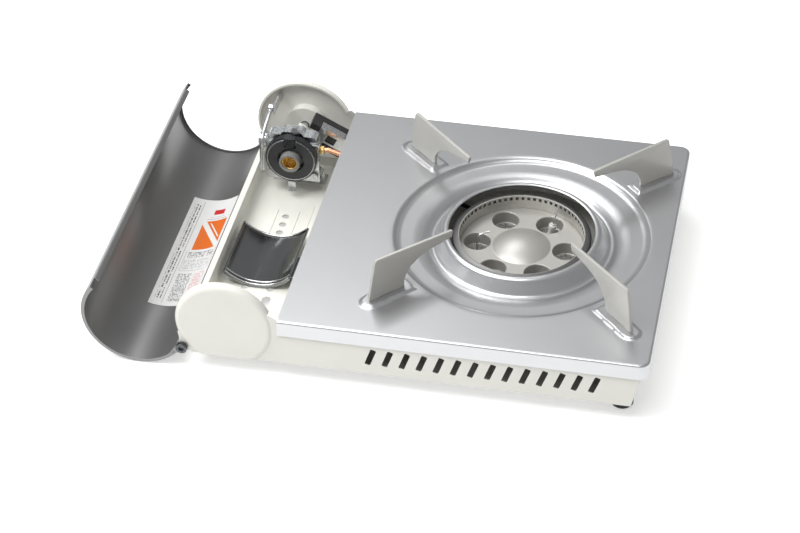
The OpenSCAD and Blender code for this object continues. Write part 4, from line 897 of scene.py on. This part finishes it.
def makeScreens():
    p = burnerLook
    low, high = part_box("burner_screens")
    tree = meshNodes(p)
    screen = meshPiece("burnerScreen", [(0, 0, 0)], [])
    wires = screen.modifiers.new("wires", "NODES")
    wires.node_group = tree
    values = {"Radius": p["screenRadius"], "Mesh": p["mesh"], "Wire": p["wire"],
              "Finish": finishes["screen_steel"]}
    for item in tree.interface.items_tree:
        if item.in_out == "INPUT" and item.name in values:
            wires[item.identifier] = values[item.name]
    bpy.context.view_layer.update()
    useModifiers(screen)
    work = bmesh.new()
    for k in range(p["tubes"]):
        a = 2 * math.pi * k / p["tubes"]
        before = len(work.verts)
        work.from_mesh(screen.data)
        work.verts.ensure_lookup_table()
        x, y = burnerX + p["tubePitch"] * math.cos(a), burnerY + p["tubePitch"] * math.sin(a)
        bmesh.ops.translate(work, verts=work.verts[before:], vec=Vector((x, y, (low.z + high.z) / 2)))
    joined = bpy.data.meshes.new("burnerScreens")
    work.to_mesh(joined)
    work.free()
    screen.data = joined
    finishPiece(screen, "screen_steel", "stove", ["burner_screens"], smooth=40)


# Beads stand at these distances from the near end and the far end of the cradle
beadLook = {
    "radius": 0.7 * mm, "near": (1.2 * mm, 4.6 * mm), "far": 1.2 * mm,
    "floorSlack": 0.5 * mm, "endMargin": 1, "sides": 8, "steps": 41,
}


def makeBeads():
    # Rolled beads across the cradle, as wide as its round floor
    p = beadLook
    low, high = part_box("heat_panel")
    spots = [(math.hypot(v.co.x - canX, v.co.z - canZ), v.co.x - canX, v.co.z - canZ)
             for v in nodes["heat_panel"].data.vertices if v.co.z < canZ]
    radius = min(r for r, x, z in spots)
    reach = radius + p["floorSlack"]
    half = max(math.degrees(math.atan2(abs(x), -z)) for r, x, z in spots if r < reach) - p["endMargin"]
    path = arc(canX, canZ, radius, 270 - half, 270 + half, p["steps"])
    sides = p["sides"]
    verts, faces = [], []
    for y in (*[low.y + inset for inset in p["near"]], high.y - p["far"]):
        start = len(verts)
        for x, z in path:
            out = Vector((x - canX, 0, z - canZ)).normalized()
            for k in range(sides):
                a = 2 * math.pi * k / sides
                side = Vector((0, p["radius"] * math.sin(a), 0))
                verts.append(Vector((x, y, z)) + out * p["radius"] * math.cos(a) + side)
        for i in range(len(path) - 1):
            here, ahead = start + i * sides, start + (i + 1) * sides
            for k in range(sides):
                n = (k + 1) % sides
                faces.append((here + k, ahead + k, ahead + n, here + n))
        faces.append([start + k for k in range(sides)])
        faces.append([start + (len(path) - 1) * sides + k for k in reversed(range(sides))])
    beads = meshPiece("cradleBeads", verts, faces)
    faceOutwards(beads)
    finishPiece(beads, "polished_steel", "stove", smooth=50)
    # The beads are pressed in the same dark steel, but they get a much paler copy of it as a painted
    # highlight
    beads.data.materials[0] = finishes["bead_highlight_steel"]


makeRing()
makeScreens()
makeBeads()
print("burner ring, screens and cradle beads made")


# Every other solid: its finish and the width of its softened edges in millimetres. Cords keep their CAD mesh.

dressing = {
    "base_pan": ("body_cream", 0.3), "rear_panel": ("body_cream", 0.25), "front_panel": ("body_cream", 0.25),
    "side_panel": ("body_cream", 0.25), "bay_partition": ("body_cream", 0.25),
    "burner_cap": ("burner_steel", 0.3), "air_tubes": ("burner_steel", 0.1),
    "burner_bowl": ("burner_steel", 0.2), "burner_legs": ("plated_steel", 0.2),
    "mixing_tube": ("plated_steel", 0.2), "gas_nozzle": ("brass", 0.15),
    "gas_tube": ("copper", 0), "gas_tube_nut": ("brass", 0.2),
    "electrode_ceramic": ("ceramic", 0.3), "ignition_electrode": ("plated_steel", 0.15),
    "electrode_bracket": ("plated_steel", 0.15), "earth_wire": ("plated_steel", 0),
    "heat_panel": ("polished_steel", 0.15), "governor_bracket": ("plated_steel", 0.25),
    "governor_body": ("die_cast", 0.45), "diaphragm_cap": ("plated_steel", 0.4),
    "magnet_yoke": ("plated_steel", 0.2), "magnet_ring": ("black_magnet", 0.15),
    "guide_plate": ("dark_steel", 0.3), "guide_tongue": ("plated_steel", 0.15),
    "valve_socket": ("socket_grey", 0.3), "brass_socket": ("brass", 0.3),
    "governor_screws": ("plated_steel", 0.2), "igniter_bracket": ("plated_steel", 0.2),
    "piezo_igniter": ("black_plastic", 0.3), "igniter_plunger": ("black_plastic", 0.2),
    "ignition_lead": ("lead_rubber", 0), "knob_shaft": ("plated_steel", 0.2),
    "ignition_cam": ("white_plastic", 0.25), "ignition_knob": ("black_plastic", 0.6),
    "safety_lever": ("plated_steel", 0.1), "lever_pin": ("plated_steel", 0.15),
    "hinge_screws": ("dark_steel", 0.25), "rubber_feet": ("foot_rubber", 0.5),
}
for node, (finish, width) in dressing.items():
    if width:
        dressNode(node, finish, width * mm)
    else:
        nodes[node].data.materials.clear()
        nodes[node].data.materials.append(finishes[finish])


def flattenCap(piece, capRadius=36.35 * mm):
    # The near end cap stops in a straight line at the wall's lower edge; of the points down there, only
    # its own lie within its radius
    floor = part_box("side_panel")[0].z
    for vertex in piece.data.vertices:
        x, y, z = vertex.co
        if z < floor and math.hypot(x - canX, z - canZ) < capRadius:
            vertex.co.z = floor


flattenCap(bpy.data.objects["rearPanel"])
print("dressed nodes:", len(dressing))


# Floor, light and camera, in metres, watts and degrees, but lens and sensor in millimetres. Each lamp aims
# at the origin.

studio = {
    "floorSize": 8, "floorColour": (0.80, 0.80, 0.80), "floorGlow": 0.5, "worldLevel": 0.36,
    "cameraPlace": (0.30123, -1.34645, 1.1293), "yaw": -12.575, "pitch": 39.175, "roll": -1.334,
    "lens": 105.788, "sensor": 36, "nearest": 0.05, "farthest": 40,
    "lamps": {
        "backTop": {"place": (-0.7, 1.1, 2.2), "size": (1.2, 1.0), "power": 17},
        "keyLeft": {"place": (-1.3, -0.6, 1.9), "size": (1.2, 1.2), "power": 38},
        "topFront": {"place": (-0.2, -0.9, 2.2), "size": (1.2, 1.0), "power": 20},
    },
}


def makeFloor():
    # Matt paper that looks brighter to the camera than the light it sends to the stove
    half = studio["floorSize"] / 2
    corners = [(-half, -half, 0), (half, -half, 0), (half, half, 0), (-half, half, 0)]
    floor = meshPiece("floor", corners, [(0, 1, 2, 3)])
    mat, tree, shader = startFinish("floorPaper", studio["floorColour"], 0.0, 0.85)
    path = makeNode(tree, "ShaderNodeLightPath")
    seen = sums(tree, "MAXIMUM", path.outputs["Is Camera Ray"], path.outputs["Is Glossy Ray"])
    seen = sums(tree, "MAXIMUM", seen, path.outputs["Is Transmission Ray"])
    shader.inputs["Emission Color"].default_value = (1, 1, 1, 1)
    tree.links.new(sums(tree, "MULTIPLY", seen, studio["floorGlow"]), shader.inputs["Emission Strength"])
    relief(tree, shader, grain(tree, where(tree), 2 * mm, 3), 0.01 * mm)
    floor.data.materials.append(mat)


def makeWorld():
    # White to the camera, and a weaker white as light
    world = bpy.data.worlds.new("studio")
    scene.world = world
    world.use_nodes = True
    tree = world.node_tree
    tree.nodes.clear()
    path = makeNode(tree, "ShaderNodeLightPath")
    seen = sums(tree, "MAXIMUM", path.outputs["Is Camera Ray"], path.outputs["Is Transmission Ray"])
    # The mix node's factor and its two numbers are its sockets 0, 2 and 3
    level = makeNode(tree, "ShaderNodeMix", {0: seen, 2: studio["worldLevel"], 3: 1.0})
    back = makeNode(tree, "ShaderNodeBackground", {"Color": (1, 1, 1, 1), "Strength": level.outputs[0]})
    out = makeNode(tree, "ShaderNodeOutputWorld")
    tree.links.new(back.outputs["Background"], out.inputs["Surface"])


def makeLamp(name, place, size, power):
    light = bpy.data.lights.new(name, "AREA")
    light.shape = "RECTANGLE"
    light.size, light.size_y = size
    light.energy = power
    lamp = addObject(name, light)
    lamp.location = place
    lamp.rotation_mode = "QUATERNION"
    lamp.rotation_quaternion = (-Vector(place)).to_track_quat("-Z", "Y")


def makeCamera():
    yaw, pitch, roll = (math.radians(studio[k]) for k in ("yaw", "pitch", "roll"))
    ahead = Vector((math.sin(yaw) * math.cos(pitch), math.cos(yaw) * math.cos(pitch), -math.sin(pitch)))
    right = Vector((math.cos(yaw), -math.sin(yaw), 0))
    up = right.cross(ahead)
    side = math.cos(roll) * right + math.sin(roll) * up
    top = -math.sin(roll) * right + math.cos(roll) * up
    lens = bpy.data.cameras.new("camera")
    lens.sensor_width = studio["sensor"]
    lens.sensor_fit = "HORIZONTAL"
    lens.lens = studio["lens"]
    lens.clip_start = studio["nearest"]
    lens.clip_end = studio["farthest"]
    camera = addObject("camera", lens)
    turn = Matrix((side, top, -ahead)).transposed().to_4x4()
    camera.matrix_world = Matrix.Translation(studio["cameraPlace"]) @ turn
    scene.camera = camera


makeFloor()
makeWorld()
for name, lamp in studio["lamps"].items():
    makeLamp(name, **lamp)
makeCamera()
scene.view_settings.view_transform = "Standard"
